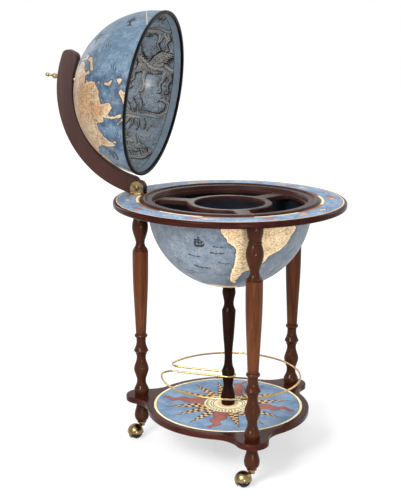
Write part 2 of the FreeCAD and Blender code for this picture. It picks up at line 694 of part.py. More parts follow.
def tray_screws():
    screws = []
    for _, at in tray_screw_places():
        head = rod(TRAY_SCREW_HEAD_R, tray_screw_seat(), tray_screw_seat() + TRAY_SCREW_HEAD_H, at)
        top = [e for e in head.Edges if e.BoundBox.ZMin > tray_screw_seat() + FIT]
        head = head.makeFillet(TRAY_SCREW_HEAD_H * HEAD_CROWN, top[:1])
        screws.append(head.fuse(screw_hole(at)))
    return Part.makeCompound(screws)


def tray_floor():
    """Disc that bottles and glasses stand on, its edge shaped to the bowl."""
    top = BOWL_Z - BOWL_IN_R + FLOOR_RISE
    return Part.makeSphere(BOWL_IN_R - FIT, V(0, 0, BOWL_Z)).common(rod(GLOBE_R, top - FLOOR_T, top))


# Hinge on the ring

def hinge_screw_places():
    inset = CHEEK_R - HINGE_SCREW_HEAD_R - HINGE_SCREW_EDGE
    y = CHEEK_OUT + CHEEK_FOOT / 2
    return [(HINGE_X + sx * inset, sy * y) for sx in (-1, 1) for sy in (-1, 1)]


def hinge_screw_hole(x, y):
    return rod(HINGE_SCREW_R, RING_TOP - HINGE_SCREW_IN_RING, RING_TOP + CHEEK_FOOT_T, V(x, y, 0))


def hinge_cheek(side):
    """Brass angle plate with an arched cheek beside the arm and a foot screwed to the ring."""
    y0, y1 = sorted((side * CHEEK_IN, side * CHEEK_OUT))
    f0, f1 = sorted((side * CHEEK_IN, side * (CHEEK_OUT + CHEEK_FOOT)))
    plate = block(HINGE_X - CHEEK_R, HINGE_X + CHEEK_R, y0, y1, RING_TOP, HINGE_Z)
    arch = Part.makeCylinder(CHEEK_R, CHEEK_T, V(HINGE_X, y0, HINGE_Z), ALONG_Y)
    sole = block(HINGE_X - CHEEK_R, HINGE_X + CHEEK_R, f0, f1, RING_TOP, RING_TOP + CHEEK_FOOT_T)
    under = block(HINGE_X - CHEEK_R, HINGE_X + CHEEK_R, y0, y1, RING_TOP - CHEEK_R, RING_TOP)
    plate = plate.fuse([arch, sole]).cut(under).removeSplitter()
    holes = [hinge_screw_hole(x, y) for x, y in hinge_screw_places() if y * side > 0]
    return plate.cut([pin_bore(PIN_R + FIT)] + holes)


def pin_bore(radius):
    reach = CHEEK_OUT * 2
    return Part.makeCylinder(radius, 2 * reach, V(HINGE_X, -reach, HINGE_Z), ALONG_Y)


def hinge_pin():
    """Round-headed pin through both cheeks and the arm's bush."""
    shank_end = CHEEK_OUT + PIN_IN_NUT
    shank = Part.makeCylinder(PIN_R, shank_end + CHEEK_OUT, V(HINGE_X, -CHEEK_OUT, HINGE_Z), ALONG_Y)
    head = Part.makeCylinder(PIN_HEAD_R, PIN_HEAD_H, V(HINGE_X, -CHEEK_OUT - PIN_HEAD_H, HINGE_Z), ALONG_Y)
    crown = [e for e in head.Edges if e.BoundBox.YMax < -CHEEK_OUT - PIN_HEAD_H / 2]
    head = head.makeFillet(PIN_HEAD_H * HEAD_CROWN, crown[:1])
    return shank.fuse(head)


def hinge_nut():
    """Domed nut on the far end of the pin."""
    body = Part.makeCylinder(NUT_R, NUT_H, V(HINGE_X, CHEEK_OUT, HINGE_Z), ALONG_Y)
    crown = [e for e in body.Edges if e.BoundBox.YMin > CHEEK_OUT + NUT_H / 2]
    body = body.makeFillet(NUT_H * NUT_CROWN, crown[:1])
    return body.cut(Part.makeCylinder(PIN_R, PIN_IN_NUT, V(HINGE_X, CHEEK_OUT, HINGE_Z), ALONG_Y))


def hinge_screws():
    screws = []
    seat = RING_TOP + CHEEK_FOOT_T
    for x, y in hinge_screw_places():
        head = rod(HINGE_SCREW_HEAD_R, seat, seat + HINGE_SCREW_HEAD_H, V(x, y, 0))
        screws.append(head.fuse(hinge_screw_hole(x, y)))
    return Part.makeCompound(screws)


# Lid, modelled closed and then swung open about the hinge pin

def opened(shape):
    shape.rotate(PIN_POINT, ALONG_Y, -OPEN_ANGLE)
    return shape


def dome(outer, inner, low):
    """Half shell about the lid's centre, from a level above its rim to the pole."""
    def on_level(radius):
        return math.sqrt(radius ** 2 - low ** 2)

    def half_way(radius):
        turn = (math.asin(low / radius) + math.pi / 2) / 2
        return (radius * math.cos(turn), RIM_Z + radius * math.sin(turn))
    return ring_solid([
        (on_level(outer), RIM_Z + low),
        (half_way(outer), (0.0, RIM_Z + outer)),
        (0.0, RIM_Z + inner),
        (half_way(inner), (on_level(inner), RIM_Z + low)),
    ])


def pole_hole(radius):
    return rod(radius, RIM_Z + GLOBE_R / 2, ARM_POLE_OUT + FINIAL_H)


def lid_shell():
    return opened(dome(GLOBE_R, GLOBE_R - SHELL_WALL, TRIM_BASE).cut(pole_hole(HUB_R)))


def lid_liner():
    return opened(dome(LINER_R, LINER_IN_R, TRIM_BASE).cut(pole_hole(HUB_R)))


def lid_rim_trim():
    """Dark channel over the edge of the shell and its lining."""
    inner = LINER_IN_R - FIT
    outer = GLOBE_R + FIT
    bottom = RIM_Z + TRIM_BASE - FIT
    lean = math.sqrt(inner ** 2 - TRIM_H ** 2) - TRIM_WALL
    trim = rod(outer + TRIM_WALL, RIM_Z, RIM_Z + TRIM_H).cut(rod(lean, RIM_Z, RIM_Z + TRIM_H))
    channel = Part.makeSphere(outer, V(0, 0, RIM_Z)).cut(Part.makeSphere(inner, V(0, 0, RIM_Z)))
    above = rod(outer * 2, bottom, RIM_Z + TRIM_H * 2)
    return opened(trim.cut(channel.common(above)))


def arm_point(radius, degrees):
    """Point of the arm's outline at an angle from +X about the arm's own centre."""
    turn = math.radians(degrees)
    return V(radius * math.cos(turn), -ARM_W / 2, ARM_CENTRE_Z + radius * math.sin(turn))


def heel_cut():
    """What the arm's heel loses so that it turns clear of the ring and lies flat on it when open."""
    reach = ARM_DEPTH * 2
    half = ARM_W
    low = HINGE_Z - reach
    flat = HINGE_Z - HEEL_R
    closed_flat = block(HINGE_X, HINGE_X + reach, -half, half, low, flat)
    open_flat = block(HINGE_X - reach, HINGE_X, -half, half, low, flat)
    open_flat.rotate(PIN_POINT, ALONG_Y, OPEN_ANGLE)
    rim = [PIN_POINT + V(math.cos(a), 0, math.sin(a)) * reach
           for a in (math.radians(270 - OPEN_ANGLE * share) for share in (0.0, 0.5, 1.0))]
    edges = [line(PIN_POINT, rim[0]), arc(*rim), line(rim[2], PIN_POINT)]
    pie = Part.Face(Part.Wire(edges)).extrude(V(0, 2 * half, 0))
    pie.translate(V(0, -half, 0))
    heel = Part.makeCylinder(HEEL_R, 4 * half, V(HINGE_X, -2 * half, HINGE_Z), ALONG_Y)
    return [closed_flat, open_flat, pie.cut(heel)]


def meridian_arm():
    """Half-meridian: a flat wooden arc from the hinge to a rounded end past the pole."""
    start = math.degrees(math.atan2(HINGE_Z - ARM_CENTRE_Z, HINGE_X))
    end = 90.0 - ARM_PAST_POLE
    middle = (start + end) / 2
    outline = Part.Wire([
        arc(arm_point(ARM_OUT_R, start), arm_point(ARM_OUT_R, middle), arm_point(ARM_OUT_R, end)),
        line(arm_point(ARM_OUT_R, end), arm_point(ARM_IN_R, end)),
        arc(arm_point(ARM_IN_R, end), arm_point(ARM_IN_R, middle), arm_point(ARM_IN_R, start)),
        line(arm_point(ARM_IN_R, start), arm_point(ARM_OUT_R, start)),
    ])
    band = Part.Face(outline).extrude(V(0, ARM_W, 0))
    across = [e for e in band.Edges if e.BoundBox.YLength > ARM_W - FIT]
    corners = [e for e in across if e.BoundBox.XMin > HINGE_X]
    band = band.makeFillet(ARM_END_R, corners)
    knuckle = Part.makeCylinder(KNUCKLE_R, ARM_W, V(HINGE_X, -ARM_W / 2, HINGE_Z), ALONG_Y)
    arm = band.fuse(knuckle).removeSplitter().cut(heel_cut()).removeSplitter()
    sides = [e for e in arm.Edges if e.BoundBox.YLength < FIT and abs(abs(e.BoundBox.YMin) - ARM_W / 2) < FIT]
    arm = arm.makeFillet(ARM_EDGE_R, sides)
    return opened(arm.cut([pin_bore(BUSH_R), pole_hole(POLE_BOLT_R + FIT)]))


def hinge_bush():
    bush = Part.makeCylinder(BUSH_R, ARM_W, V(HINGE_X, -ARM_W / 2, HINGE_Z), ALONG_Y)
    return opened(bush.cut(pin_bore(PIN_R + RUN)))


def pole_hub():
    """Flanged brass sleeve in the shell, which turns on the pole bolt."""
    hub = rod(HUB_R, HUB_BOTTOM, HUB_TOP).fuse(rod(HUB_FLANGE_R, HUB_BOTTOM, HUB_SEAT))
    return opened(hub.cut(pole_hole(POLE_BOLT_R + RUN)))


def pole_spacer():
    """Sleeve on the pole bolt between the hub and the arm."""
    arm_inside = Part.makeCylinder(ARM_IN_R, ARM_W * 2, V(0, -ARM_W, ARM_CENTRE_Z), ALONG_Y)
    sleeve = rod(POLE_SPACER_R, HUB_TOP + MOVE_GAP, ARM_POLE_OUT).common(arm_inside)
    return opened(sleeve.cut(pole_hole(POLE_BOLT_R)))


def pole_bolt():
    """Bolt from inside the lid, through the hub and the arm, into the finial."""
    seat = HUB_BOTTOM - MOVE_GAP
    top = ARM_POLE_OUT + FINIAL_BORE
    head = rod(POLE_HEAD_R, seat - POLE_HEAD_H, seat)
    crown = [e for e in head.Edges if e.BoundBox.ZMax < seat - POLE_HEAD_H / 2]
    head = head.makeFillet(POLE_HEAD_H * HEAD_CROWN, crown[:1])
    return opened(head.fuse(rod(POLE_BOLT_R, seat - FIT, top)))


def pole_finial():
    """Turned brass finial that the pole bolt screws into."""
    tip = FINIAL_H - FINIAL_TIP_H
    finial = turned(
        (FINIAL_BASE_R, 0.0),
        [(FINIAL_BASE_R, FINIAL_BASE_H)],
        [(FINIAL_TIP_R, mix(FINIAL_BASE_H, FINIAL_BALL_Z, 0.16))],
        [(FINIAL_BALL_R, FINIAL_BALL_Z), (FINIAL_TIP_R, mix(FINIAL_BALL_Z, FINIAL_NECK_Z, 0.66))],
        [(FINIAL_NECK_R, FINIAL_NECK_Z), (FINIAL_NECK_R, mix(FINIAL_NECK_Z, tip, 0.8))],
        [(FINIAL_TIP_R, tip)],
        [(FINIAL_TIP_R, FINIAL_H - FINIAL_TIP_H * 0.22)],
        [(FINIAL_TIP_R * 0.65, FINIAL_H)],
    )
    finial = finial.cut(rod(POLE_BOLT_R, 0.0, FINIAL_BORE))
    finial.translate(V(0, 0, ARM_POLE_OUT))
    return opened(finial)


# Casters, modelled with the swivel axis on Z and trailing along +X, then set under a foot

def placed(shape, name):
    shape.rotate(V(0, 0, 0), UP, CASTER_TURNS[name])
    shape.translate(polar(LEG_CIRCLE_R, LEG_ANGLES[name]))
    return shape


def axle_point(y=0.0):
    return V(TRAIL, y, WHEEL_R)


def caster_socket(name):
    """Brass plate and sleeve let into the foot."""
    plate = rod(SOCKET_PLATE_R, SOCKET_BOTTOM, CASTER_H)
    sleeve = rod(SOCKET_R, SOCKET_BOTTOM, CASTER_H + STEM_IN_FOOT)
    return placed(plate.fuse(sleeve).cut(rod(STEM_R + RUN, SOCKET_BOTTOM, CASTER_H + STEM_IN_FOOT)), name)


def caster_hood(name):
    """Brass hood over both wheels, with a tongue behind them, a web between them and a boss."""
    centre = axle_point()
    edge = WHEEL_R - HOOD_DROP
    ball = Part.makeSphere(HOOD_R, centre)
    hollow = Part.makeSphere(HOOD_IN_R, centre)
    upper = block(-TRAIL, TRAIL + 2 * HOOD_R, -HOOD_R, HOOD_R, edge, CASTER_H)
    behind = block(TRAIL, TRAIL + 2 * HOOD_R, -TONGUE_W / 2, TONGUE_W / 2, TONGUE_Z, CASTER_H)
    boss = rod(BOSS_R, BOSS_TOP - STEM_IN_HOOD - HOOD_WALL, BOSS_TOP)
    shell = ball.common(upper.fuse(behind)).fuse(boss).cut(hollow)
    web = hollow.common(block(-TRAIL, TRAIL + HOOD_R, -WEB_T / 2, WEB_T / 2, edge - AXLE_R * 2.5, CASTER_H))
    stem_hole = rod(STEM_R, BOSS_TOP - STEM_IN_HOOD, BOSS_TOP)
    axle_hole = Part.makeCylinder(AXLE_R, WEB_T, axle_point(-WEB_T / 2), ALONG_Y)
    return placed(shell.fuse(web).removeSplitter().cut([stem_hole, axle_hole]), name)


def caster_stem(name):
    return placed(rod(STEM_R, BOSS_TOP - STEM_IN_HOOD, CASTER_H + STEM_IN_FOOT - FIT), name)


def caster_axle(name):
    """Steel pin with a head outside each wheel."""
    half = WHEEL_OUT + MOVE_GAP
    pin = Part.makeCylinder(AXLE_R, 2 * half, axle_point(-half), ALONG_Y)
    heads = [Part.makeCylinder(AXLE_HEAD_R, AXLE_HEAD_T, axle_point(y), ALONG_Y)
             for y in (-half - AXLE_HEAD_T, half)]
    return placed(pin.fuse(heads), name)


def caster_wheel(name, side):
    """One wheel: a flat tread beside the web and a rounded outer face, bored for the axle."""
    drum = Part.makeCylinder(WHEEL_R, WHEEL_OUT - WHEEL_IN, axle_point(WHEEL_IN), ALONG_Y)
    wheel = drum.common(Part.makeSphere(WHEEL_BALL_R, axle_point()))
    wheel = wheel.cut(Part.makeCylinder(AXLE_R + RUN, 2 * WHEEL_OUT, axle_point(), ALONG_Y))
    if side < 0:
        wheel.rotate(axle_point(), UP, 180)
    return placed(wheel, name)


def nodes():
    """Every piece by its node's name."""
    pieces = {
        "shelf_board": shelf_board(),
        "compass_disc": compass_disc(),
        "leg_studs": leg_studs(),
        "ring_dowels": ring_dowels(),
        "centre_column": centre_column(),
        "column_bolts": column_bolts(),
        "gallery_rail": gallery_rail(),
        "equator_ring": equator_ring(),
        "ring_band": ring_band(),
        "bowl_shell": bowl_shell(),
        "bowl_screws": bowl_screws(),
        "tray_deck": tray_deck(),
        "tray_floor": tray_floor(),
        "tray_screws": tray_screws(),
        "hinge_cheek_front": hinge_cheek(-1),
        "hinge_cheek_rear": hinge_cheek(1),
        "hinge_pin": hinge_pin(),
        "hinge_nut": hinge_nut(),
        "hinge_screws": hinge_screws(),
        "lid_shell": lid_shell(),
        "lid_liner": lid_liner(),
        "lid_rim_trim": lid_rim_trim(),
        "meridian_arm": meridian_arm(),
        "hinge_bush": hinge_bush(),
        "pole_hub": pole_hub(),
        "pole_spacer": pole_spacer(),
        "pole_bolt": pole_bolt(),
        "pole_finial": pole_finial(),
    }
    for name, at in leg_axes().items():
        pieces["leg_" + name] = leg(at)
        pieces["foot_" + name] = foot(at)
        pieces["caster_socket_" + name] = caster_socket(name)
        pieces["caster_hood_" + name] = caster_hood(name)
        pieces["caster_stem_" + name] = caster_stem(name)
        pieces["caster_axle_" + name] = caster_axle(name)
        pieces["caster_wheel_" + name + "_a"] = caster_wheel(name, 1)
        pieces["caster_wheel_" + name + "_b"] = caster_wheel(name, -1)
    return pieces


os.makedirs("parts", exist_ok=True)
for node, shape in nodes().items():
    shape.exportStep("parts/" + node + ".step")
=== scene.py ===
"""Floor globe bar: lacquered turnings, a printed globe, a star chart, a moulded tray and antique brass.

Metres, +Z up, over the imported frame. The lid's hinge is on -X. The maps and the star chart are drawn by
their materials from signed distances, in degrees, that are stored on the points of each surface.
"""
import bpy
import bmesh
import json
import math
import numpy as np
from mathutils import Matrix, Vector


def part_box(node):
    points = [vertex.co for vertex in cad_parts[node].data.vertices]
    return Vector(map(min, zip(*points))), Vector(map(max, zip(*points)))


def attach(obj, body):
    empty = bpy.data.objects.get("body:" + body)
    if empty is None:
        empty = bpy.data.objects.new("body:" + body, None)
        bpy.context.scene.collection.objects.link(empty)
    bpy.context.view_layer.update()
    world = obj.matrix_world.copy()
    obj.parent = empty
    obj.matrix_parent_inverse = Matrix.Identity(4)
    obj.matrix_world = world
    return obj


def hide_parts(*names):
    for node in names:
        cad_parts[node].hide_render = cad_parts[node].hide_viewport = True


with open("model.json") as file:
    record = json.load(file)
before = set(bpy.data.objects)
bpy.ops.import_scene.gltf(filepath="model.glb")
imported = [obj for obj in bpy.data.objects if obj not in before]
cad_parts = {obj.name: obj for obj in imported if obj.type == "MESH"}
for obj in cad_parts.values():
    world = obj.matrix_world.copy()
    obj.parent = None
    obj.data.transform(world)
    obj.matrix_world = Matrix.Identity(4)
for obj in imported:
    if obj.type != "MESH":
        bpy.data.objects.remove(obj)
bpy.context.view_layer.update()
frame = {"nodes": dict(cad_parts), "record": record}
MM = 0.001
DEGREES = 180.0 / math.pi


# Sizes in metres, read from the frame where a solid shows them

def corners(node):
    """Lowest and highest corner of a solid, as arrays."""
    low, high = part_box(node)
    return np.array(low), np.array(high)


ring_low, ring_high = corners("equator_ring")
band_low, band_high = corners("ring_band")
disc_high = corners("compass_disc")[1]
bowl_low, bowl_high = corners("bowl_shell")
rail_low, rail_high = corners("gallery_rail")
RING_R = ring_high[0]
RING_TOP = ring_high[2]
RING_BOTTOM = ring_low[2]
RING_BORE_R = 0.2002
NOSE_R = 0.005
BAND_R = band_high[0]
BAND_IN_R = 0.221
PRINT_T = band_high[2] - band_low[2]
PRINT_GAP = 0.0002
DISC_R = disc_high[0]
DISC_HOLE_R = 0.0032
SHELF_TOP = disc_high[2]
LEG_CIRCLE_R = 0.234
RAIL_R = 0.175
RAIL_SHIFT = 0.007
RAIL_BEND_R = 0.025
RAIL_GRIP_R = 0.0182
RAIL_Z = (rail_low[2] + rail_high[2]) / 2.0
WIRE_R = 0.0025
GLOBE_R = bowl_high[0]
SHELL_WALL = 0.004
BOWL_CENTRE = np.array([0.0, 0.0, bowl_low[2] + GLOBE_R])
COLLAR_TOP = bowl_high[2]
LID_CENTRE = np.array([0.0, 0.0, 0.6454])
LINER_R = 0.1948
TRIM_R = 0.2018
TRIM_IN_R = 0.1930
TRIM_H = 0.006
TRIM_FLOOR = 0.0016
PIN = np.array([-0.237, 0.0, 0.660])
ARM_POLE_OUT = 0.9044
FLOOR_Z = -0.0002

# Turns: of the open lid in radians, the others in degrees
OPEN_ANGLE = math.radians(82.0)
LEG_TURN = {"left": 180.0, "front": 300.0, "back": 60.0}
LEGS = tuple(LEG_TURN)
LID_SPIN = 158.0
BOWL_SPIN = 1.0
RIM_LATITUDE = 0.45

# Degrees beyond which a map keeps no distance from a coast or a stroke
REACH = 9.0

# Points along the shells' profiles, and round each kind of surface
LID_ROWS = 165
BOWL_ROWS = 150
INSIDE_ROWS = 48
GLOBE_COLUMNS = 480
RING_COLUMNS = 256
DISC_COLUMNS = 192
INSIDE_COLUMNS = 128
FLOOR_COLUMNS = 96
TURNED_COLUMNS = 72
FINIAL_COLUMNS = 48


# Shapes

def through(points, count=15):
    """Natural cubic spline through points, by chord length: the second slopes come from the usual
    three-term equations, and each stretch is the cubic between two points with those slopes."""
    p = np.asarray(points, float)
    t = np.concatenate([[0.0], np.cumsum(np.linalg.norm(np.diff(p, axis=0), axis=1))])
    h = np.diff(t)
    k = np.arange(1, len(p) - 1)
    terms = np.zeros((len(p), len(p)))
    terms[0, 0] = terms[-1, -1] = 1.0
    terms[k, k - 1] = h[:-1]
    terms[k, k] = 2.0 * (h[:-1] + h[1:])
    terms[k, k + 1] = h[1:]
    slope = np.diff(p, axis=0) / h[:, None]
    change = np.zeros_like(p)
    change[1:-1] = 6.0 * np.diff(slope, axis=0)
    second = np.linalg.solve(terms, change)
    s = np.linspace(0.0, t[-1], count * (len(p) - 1))
    i = np.clip(np.searchsorted(t, s, side="right") - 1, 0, len(h) - 1)
    b = ((s - t[i]) / h[i])[:, None]
    a = 1.0 - b
    bow = (a ** 3 - a) * second[i] + (b ** 3 - b) * second[i + 1]
    return a * p[i] + b * p[i + 1] + bow * (h[i] ** 2)[:, None] / 6.0


def softened(path, width=0.45, least_turn=0.4, share=0.4):
    """Cuts each corner of a profile that turns by more than the least turn, in radians, with a short curve:
    two points on its sides, a width or a share of the shorter side from it, and one between."""
    before = path[1:-1] - path[:-2]
    after = path[2:] - path[1:-1]
    long_before = np.linalg.norm(before, axis=1)[:, None]
    long_after = np.linalg.norm(after, axis=1)[:, None]
    cosine = np.sum(before * after, axis=1)[:, None] / (long_before * long_after)
    sharp = cosine < math.cos(least_turn)
    cut = np.where(sharp, np.minimum(width, share * np.minimum(long_before, long_after)), 0.0)
    first = path[1:-1] - before / long_before * cut
    last = path[1:-1] + after / long_after * cut
    middle = 0.25 * first + 0.5 * path[1:-1] + 0.25 * last
    points = np.stack([first, middle, last], 1)
    kept = np.concatenate([np.ones_like(sharp), sharp, sharp], 1)
    return np.concatenate([path[:1], points[kept], path[-1:]])


def lathe(start, *strokes):
    """Profile of a turning in metres, from strokes of (radius, height) points in millimetres. One point is
    a straight cut, several are one smooth curve. The profile starts and ends on the axis."""
    path = [np.array([[0.0, start[1]], start], float)]
    for stroke in strokes:
        points = [tuple(path[-1][-1])] + list(stroke)
        path.append(np.array(stroke, float) if len(points) == 2 else through(points)[1:])
    path.append(np.array([[0.0, path[-1][-1][1]]]))
    return softened(np.concatenate(path)) * MM


def revolved(profile, columns, centre=(0.0, 0.0, 0.0)):
    """Points of a profile of (radius, height) carried round the Z axis: row by height, column by angle."""
    turn = np.linspace(0.0, 2.0 * math.pi, columns, endpoint=False)
    r = profile[:, 0][:, None]
    z = np.broadcast_to(profile[:, 1][:, None], (len(profile), columns))
    return np.stack([r * np.cos(turn), r * np.sin(turn), z], -1) + np.asarray(centre)


def arc_profile(radius, low, high, rows):
    """Profile of a ball: (radius cos a, radius sin a) for a latitude a from low to high, in degrees."""
    a = np.radians(np.linspace(low, high, rows))
    return np.stack([radius * np.cos(a), radius * np.sin(a)], -1)


def swung(points, angle):
    """Turns points about the hinge pin: x and z from the pin become x cos - z sin and x sin + z cos."""
    x = points[..., 0] - PIN[0]
    z = points[..., 2] - PIN[2]
    c, s = math.cos(angle), math.sin(angle)
    return np.stack([x * c - z * s + PIN[0], points[..., 1], x * s + z * c + PIN[2]], -1)


def opened(points):
    """Points of the shut lid, swung to where they stand with the lid open."""
    return swung(points, OPEN_ANGLE)


def shut(points):
    """Points of the open lid, swung back to where they lie with the lid shut."""
    return swung(points, -OPEN_ANGLE)


def tube(path, radius, around=16):
    """Points of a round wire along a closed level path: the path plus radius times (its outward normal
    times cos b plus up times sin b), with the normal square to the path's direction."""
    ahead = np.roll(path, -1, axis=0) - np.roll(path, 1, axis=0)
    ahead /= np.linalg.norm(ahead, axis=1)[:, None]
    out = np.stack([ahead[:, 1], -ahead[:, 0], np.zeros(len(path))], -1)
    b = np.linspace(0.0, 2.0 * math.pi, around, endpoint=False)[None, :, None]
    return path[:, None, :] + radius * (out[:, None, :] * np.cos(b) + np.array([0.0, 0.0, 1.0]) * np.sin(b))


def quads(rows, columns, rows_close):
    """Corners of the faces between neighbours of a grid that is numbered row by row. Its columns close
    into a ring, and its rows may."""
    i = np.arange(rows if rows_close else rows - 1)[:, None]
    j = np.arange(columns)[None, :]
    ni = (i + 1) % rows
    nj = (j + 1) % columns
    faces = np.stack([i * columns + j, i * columns + nj, ni * columns + nj, ni * columns + j], -1)
    return faces.reshape(-1, 4)


def merged(mesh, gap):
    """Joins the points of a mesh that lie closer than a gap, which closes seams and poles."""
    work = bmesh.new()
    work.from_mesh(mesh)
    bmesh.ops.remove_doubles(work, verts=work.verts, dist=gap)
    bmesh.ops.dissolve_degenerate(work, edges=work.edges, dist=gap)
    work.to_mesh(mesh)
    work.free()


def shown(name, mesh, finish, body, nodes, sharp):
    """Puts a mesh into the scene as a piece on a body, in place of solids."""
    mesh.shade_smooth()
    mesh.set_sharp_from_angle(angle=math.radians(sharp))
    mesh.materials.clear()
    mesh.materials.append(finish.material)
    piece = bpy.data.objects.new(name, mesh)
    bpy.context.scene.collection.objects.link(piece)
    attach(piece, body)
    if nodes:
        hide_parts(*nodes)
    return piece


def skin(name, grid, rows_close=False, gap=2e-6):
    """A mesh from a grid of points, with a face between each four neighbours and its seams closed."""
    rows, columns = grid.shape[:2]
    mesh = bpy.data.meshes.new(name)
    mesh.from_pydata(grid.reshape(-1, 3).tolist(), [], quads(rows, columns, rows_close).tolist())
    merged(mesh, gap)
    return mesh


def surface(name, grid, finish, body, nodes=(), sharp=40.0, rows_close=False):
    """A piece from a grid of points whose columns close, and whose rows are open or close too."""
    return shown(name, skin(name, grid, rows_close), finish, body, nodes, sharp)


def dressed(node, finish, sharp=32.0, gap=5e-6):
    """A merged copy of a solid, shaded smooth but for its sharp edges, without the normals that its loose
    triangles carry."""
    source = frame["nodes"][node]
    mesh = source.data.copy()
    mesh.transform(source.matrix_world)
    if mesh.has_custom_normals:
        mesh.attributes.remove(mesh.attributes["custom_normal"])
    merged(mesh, gap)
    return shown(node + ".dressed", mesh, finish, BODY_OF[node], (node,), sharp)


def points_of(piece):
    """Points of a finished piece, as an array."""
    flat = np.empty(len(piece.data.vertices) * 3, np.float32)
    piece.data.vertices.foreach_get("co", flat)
    return flat.reshape(-1, 3).astype(float)


def store(piece, name, values):
    """Keeps a number or a vector for each point of a piece, for its material to read."""
    kind, field = ("FLOAT_VECTOR", "vector") if values.ndim == 2 else ("FLOAT", "value")
    kept = piece.data.attributes.new(name, kind, "POINT")
    kept.data.foreach_set(field, np.ascontiguousarray(values, np.float32).ravel())


BODY_OF = {n: b for b, names in frame["record"]["behaviour"]["bodies"].items() for n in names}
SLOT_OF = {s["node"]: s["material_slot"] for s in frame["record"]["subparts"]}


# Materials

SEEN_RAYS = ("Is Camera Ray", "Is Glossy Ray", "Is Transmission Ray")
ALONG_X, ALONG_Z = 0, 2


def tint(red, green, blue):
    """A colour of 0 to 255 as the eye sees it, in the linear values that a shader takes: a straight line
    for the darkest shares of 255 and a power of 2.4 for the others."""
    share = np.array([red, green, blue]) / 255.0
    linear = np.where(share <= 0.04045, share / 12.92, ((share + 0.055) / 1.055) ** 2.4)
    return (*[float(v) for v in linear], 1.0)


class Wire:
    """One value in a material. Arithmetic on it adds Math nodes."""

    def __init__(self, bench, socket):
        self.bench = bench
        self.socket = socket

    def math(self, operation, *others):
        """This value put through an operation, followed by the other values that it takes."""
        return self.bench.node("Math", {"operation": operation}, self, *others)

    def __add__(self, other):
        return self.math("ADD", other)

    def __radd__(self, other):
        return self.math("ADD", other)

    def __sub__(self, other):
        return self.math("SUBTRACT", other)

    def __rsub__(self, other):
        return self.bench.node("Math", {"operation": "SUBTRACT"}, other, self)

    def __mul__(self, other):
        return self.math("MULTIPLY", other)

    def __rmul__(self, other):
        return self.math("MULTIPLY", other)

    def __truediv__(self, other):
        return self.math("DIVIDE", other)

    def __rtruediv__(self, other):
        return self.bench.node("Math", {"operation": "DIVIDE"}, other, self)

    def __abs__(self):
        return self.math("ABSOLUTE")

    def __lt__(self, other):
        return self.math("LESS_THAN", other)

    def __gt__(self, other):
        return self.math("GREATER_THAN", other)

    def rise(self, low, high):
        """0 below low, 1 above high and a smooth step between, or falling where low is the larger."""
        ends = {"From Min": low, "From Max": high}
        return self.bench.node("MapRange", {"interpolation_type": "SMOOTHSTEP"}, Value=self, **ends)

    def near(self, value, width):
        """1 at a value, falling to 0 at a width from it."""
        return abs(self - value).rise(width, width * 0.4)

    def at_least(self, other):
        """The larger of two."""
        return self.math("MAXIMUM", other)

    def at_most(self, other):
        """The smaller of two."""
        return self.math("MINIMUM", other)


class Bench:
    """A node tree in the making."""

    def __init__(self, tree):
        self.tree = tree

    def node(self, kind, settings=None, *values, out=0, **named):
        """Adds a node: its settings first, then the values or links of its sockets in order or by name."""
        made = self.tree.nodes.new("ShaderNode" + kind)
        for key, value in (settings or {}).items():
            setattr(made, key, value)
        sockets = [s for s in made.inputs if s.enabled]
        by_name = {s.name: s for s in sockets}
        for socket, value in list(zip(sockets, values)) + [(by_name[k], v) for k, v in named.items()]:
            self.join(value, socket)
        outputs = [s for s in made.outputs if s.enabled]
        return Wire(self, {s.name: s for s in outputs}[out] if isinstance(out, str) else outputs[out])

    def join(self, value, socket):
        """Links a value to a socket, or sets it there where it is a plain number or colour."""
        if isinstance(value, Wire):
            self.tree.links.new(value.socket, socket)
        else:
            socket.default_value = value

    def place(self, scale=(1.0, 1.0, 1.0)):
        """Object coordinates, stretched along each axis."""
        at = self.node("TexCoord", out="Object")
        return at if scale == (1.0, 1.0, 1.0) else self.scaled(at, scale)

    def scaled(self, vector, scale):
        """A vector times a scale for each axis."""
        return self.node("VectorMath", {"operation": "MULTIPLY"}, vector, scale)

    def kept(self, name, out="Fac"):
        """What a piece's points keep under a name."""
        return self.node("Attribute", {"attribute_name": name}, out=out)

    def split(self, vector):
        """The three parts of a vector."""
        return [Wire(self, part) for part in self.node("SeparateXYZ", None, vector).socket.node.outputs]

    def latitude(self, globe, pole):
        """Degrees from the great circle square to a pole: the arc sine of direction dot pole."""
        rise = self.node("VectorMath", {"operation": "DOT_PRODUCT"}, globe, pole)
        return rise.math("ARCSINE") * DEGREES

    def seen(self):
        """1 for a ray from the camera, and for one that is mirrored or passes through a piece."""
        camera_ray, glossy, through_ray = [self.node("LightPath", out=kind) for kind in SEEN_RAYS]
        return camera_ray.at_least(glossy).at_least(through_ray)

    def cloud(self, vector, scale, detail=4.0, rough=0.55, warp=0.0):
        """Fractal noise from 0 to 1."""
        return self.node("TexNoise", None, Vector=vector, Scale=scale, Detail=detail, Roughness=rough,
                         Distortion=warp)

    def cells(self, vector, scale, feature="F1", out="Distance"):
        """Cells round scattered points: the distance to the nearest point, or what else a cell gives."""
        return self.node("TexVoronoi", {"feature": feature}, Vector=vector, Scale=scale, out=out)

    def mix(self, share, first, second):
        """The colour a share of the way from the first to the second."""
        return self.node("Mix", {"data_type": "RGBA"}, Factor=share, A=first, B=second)


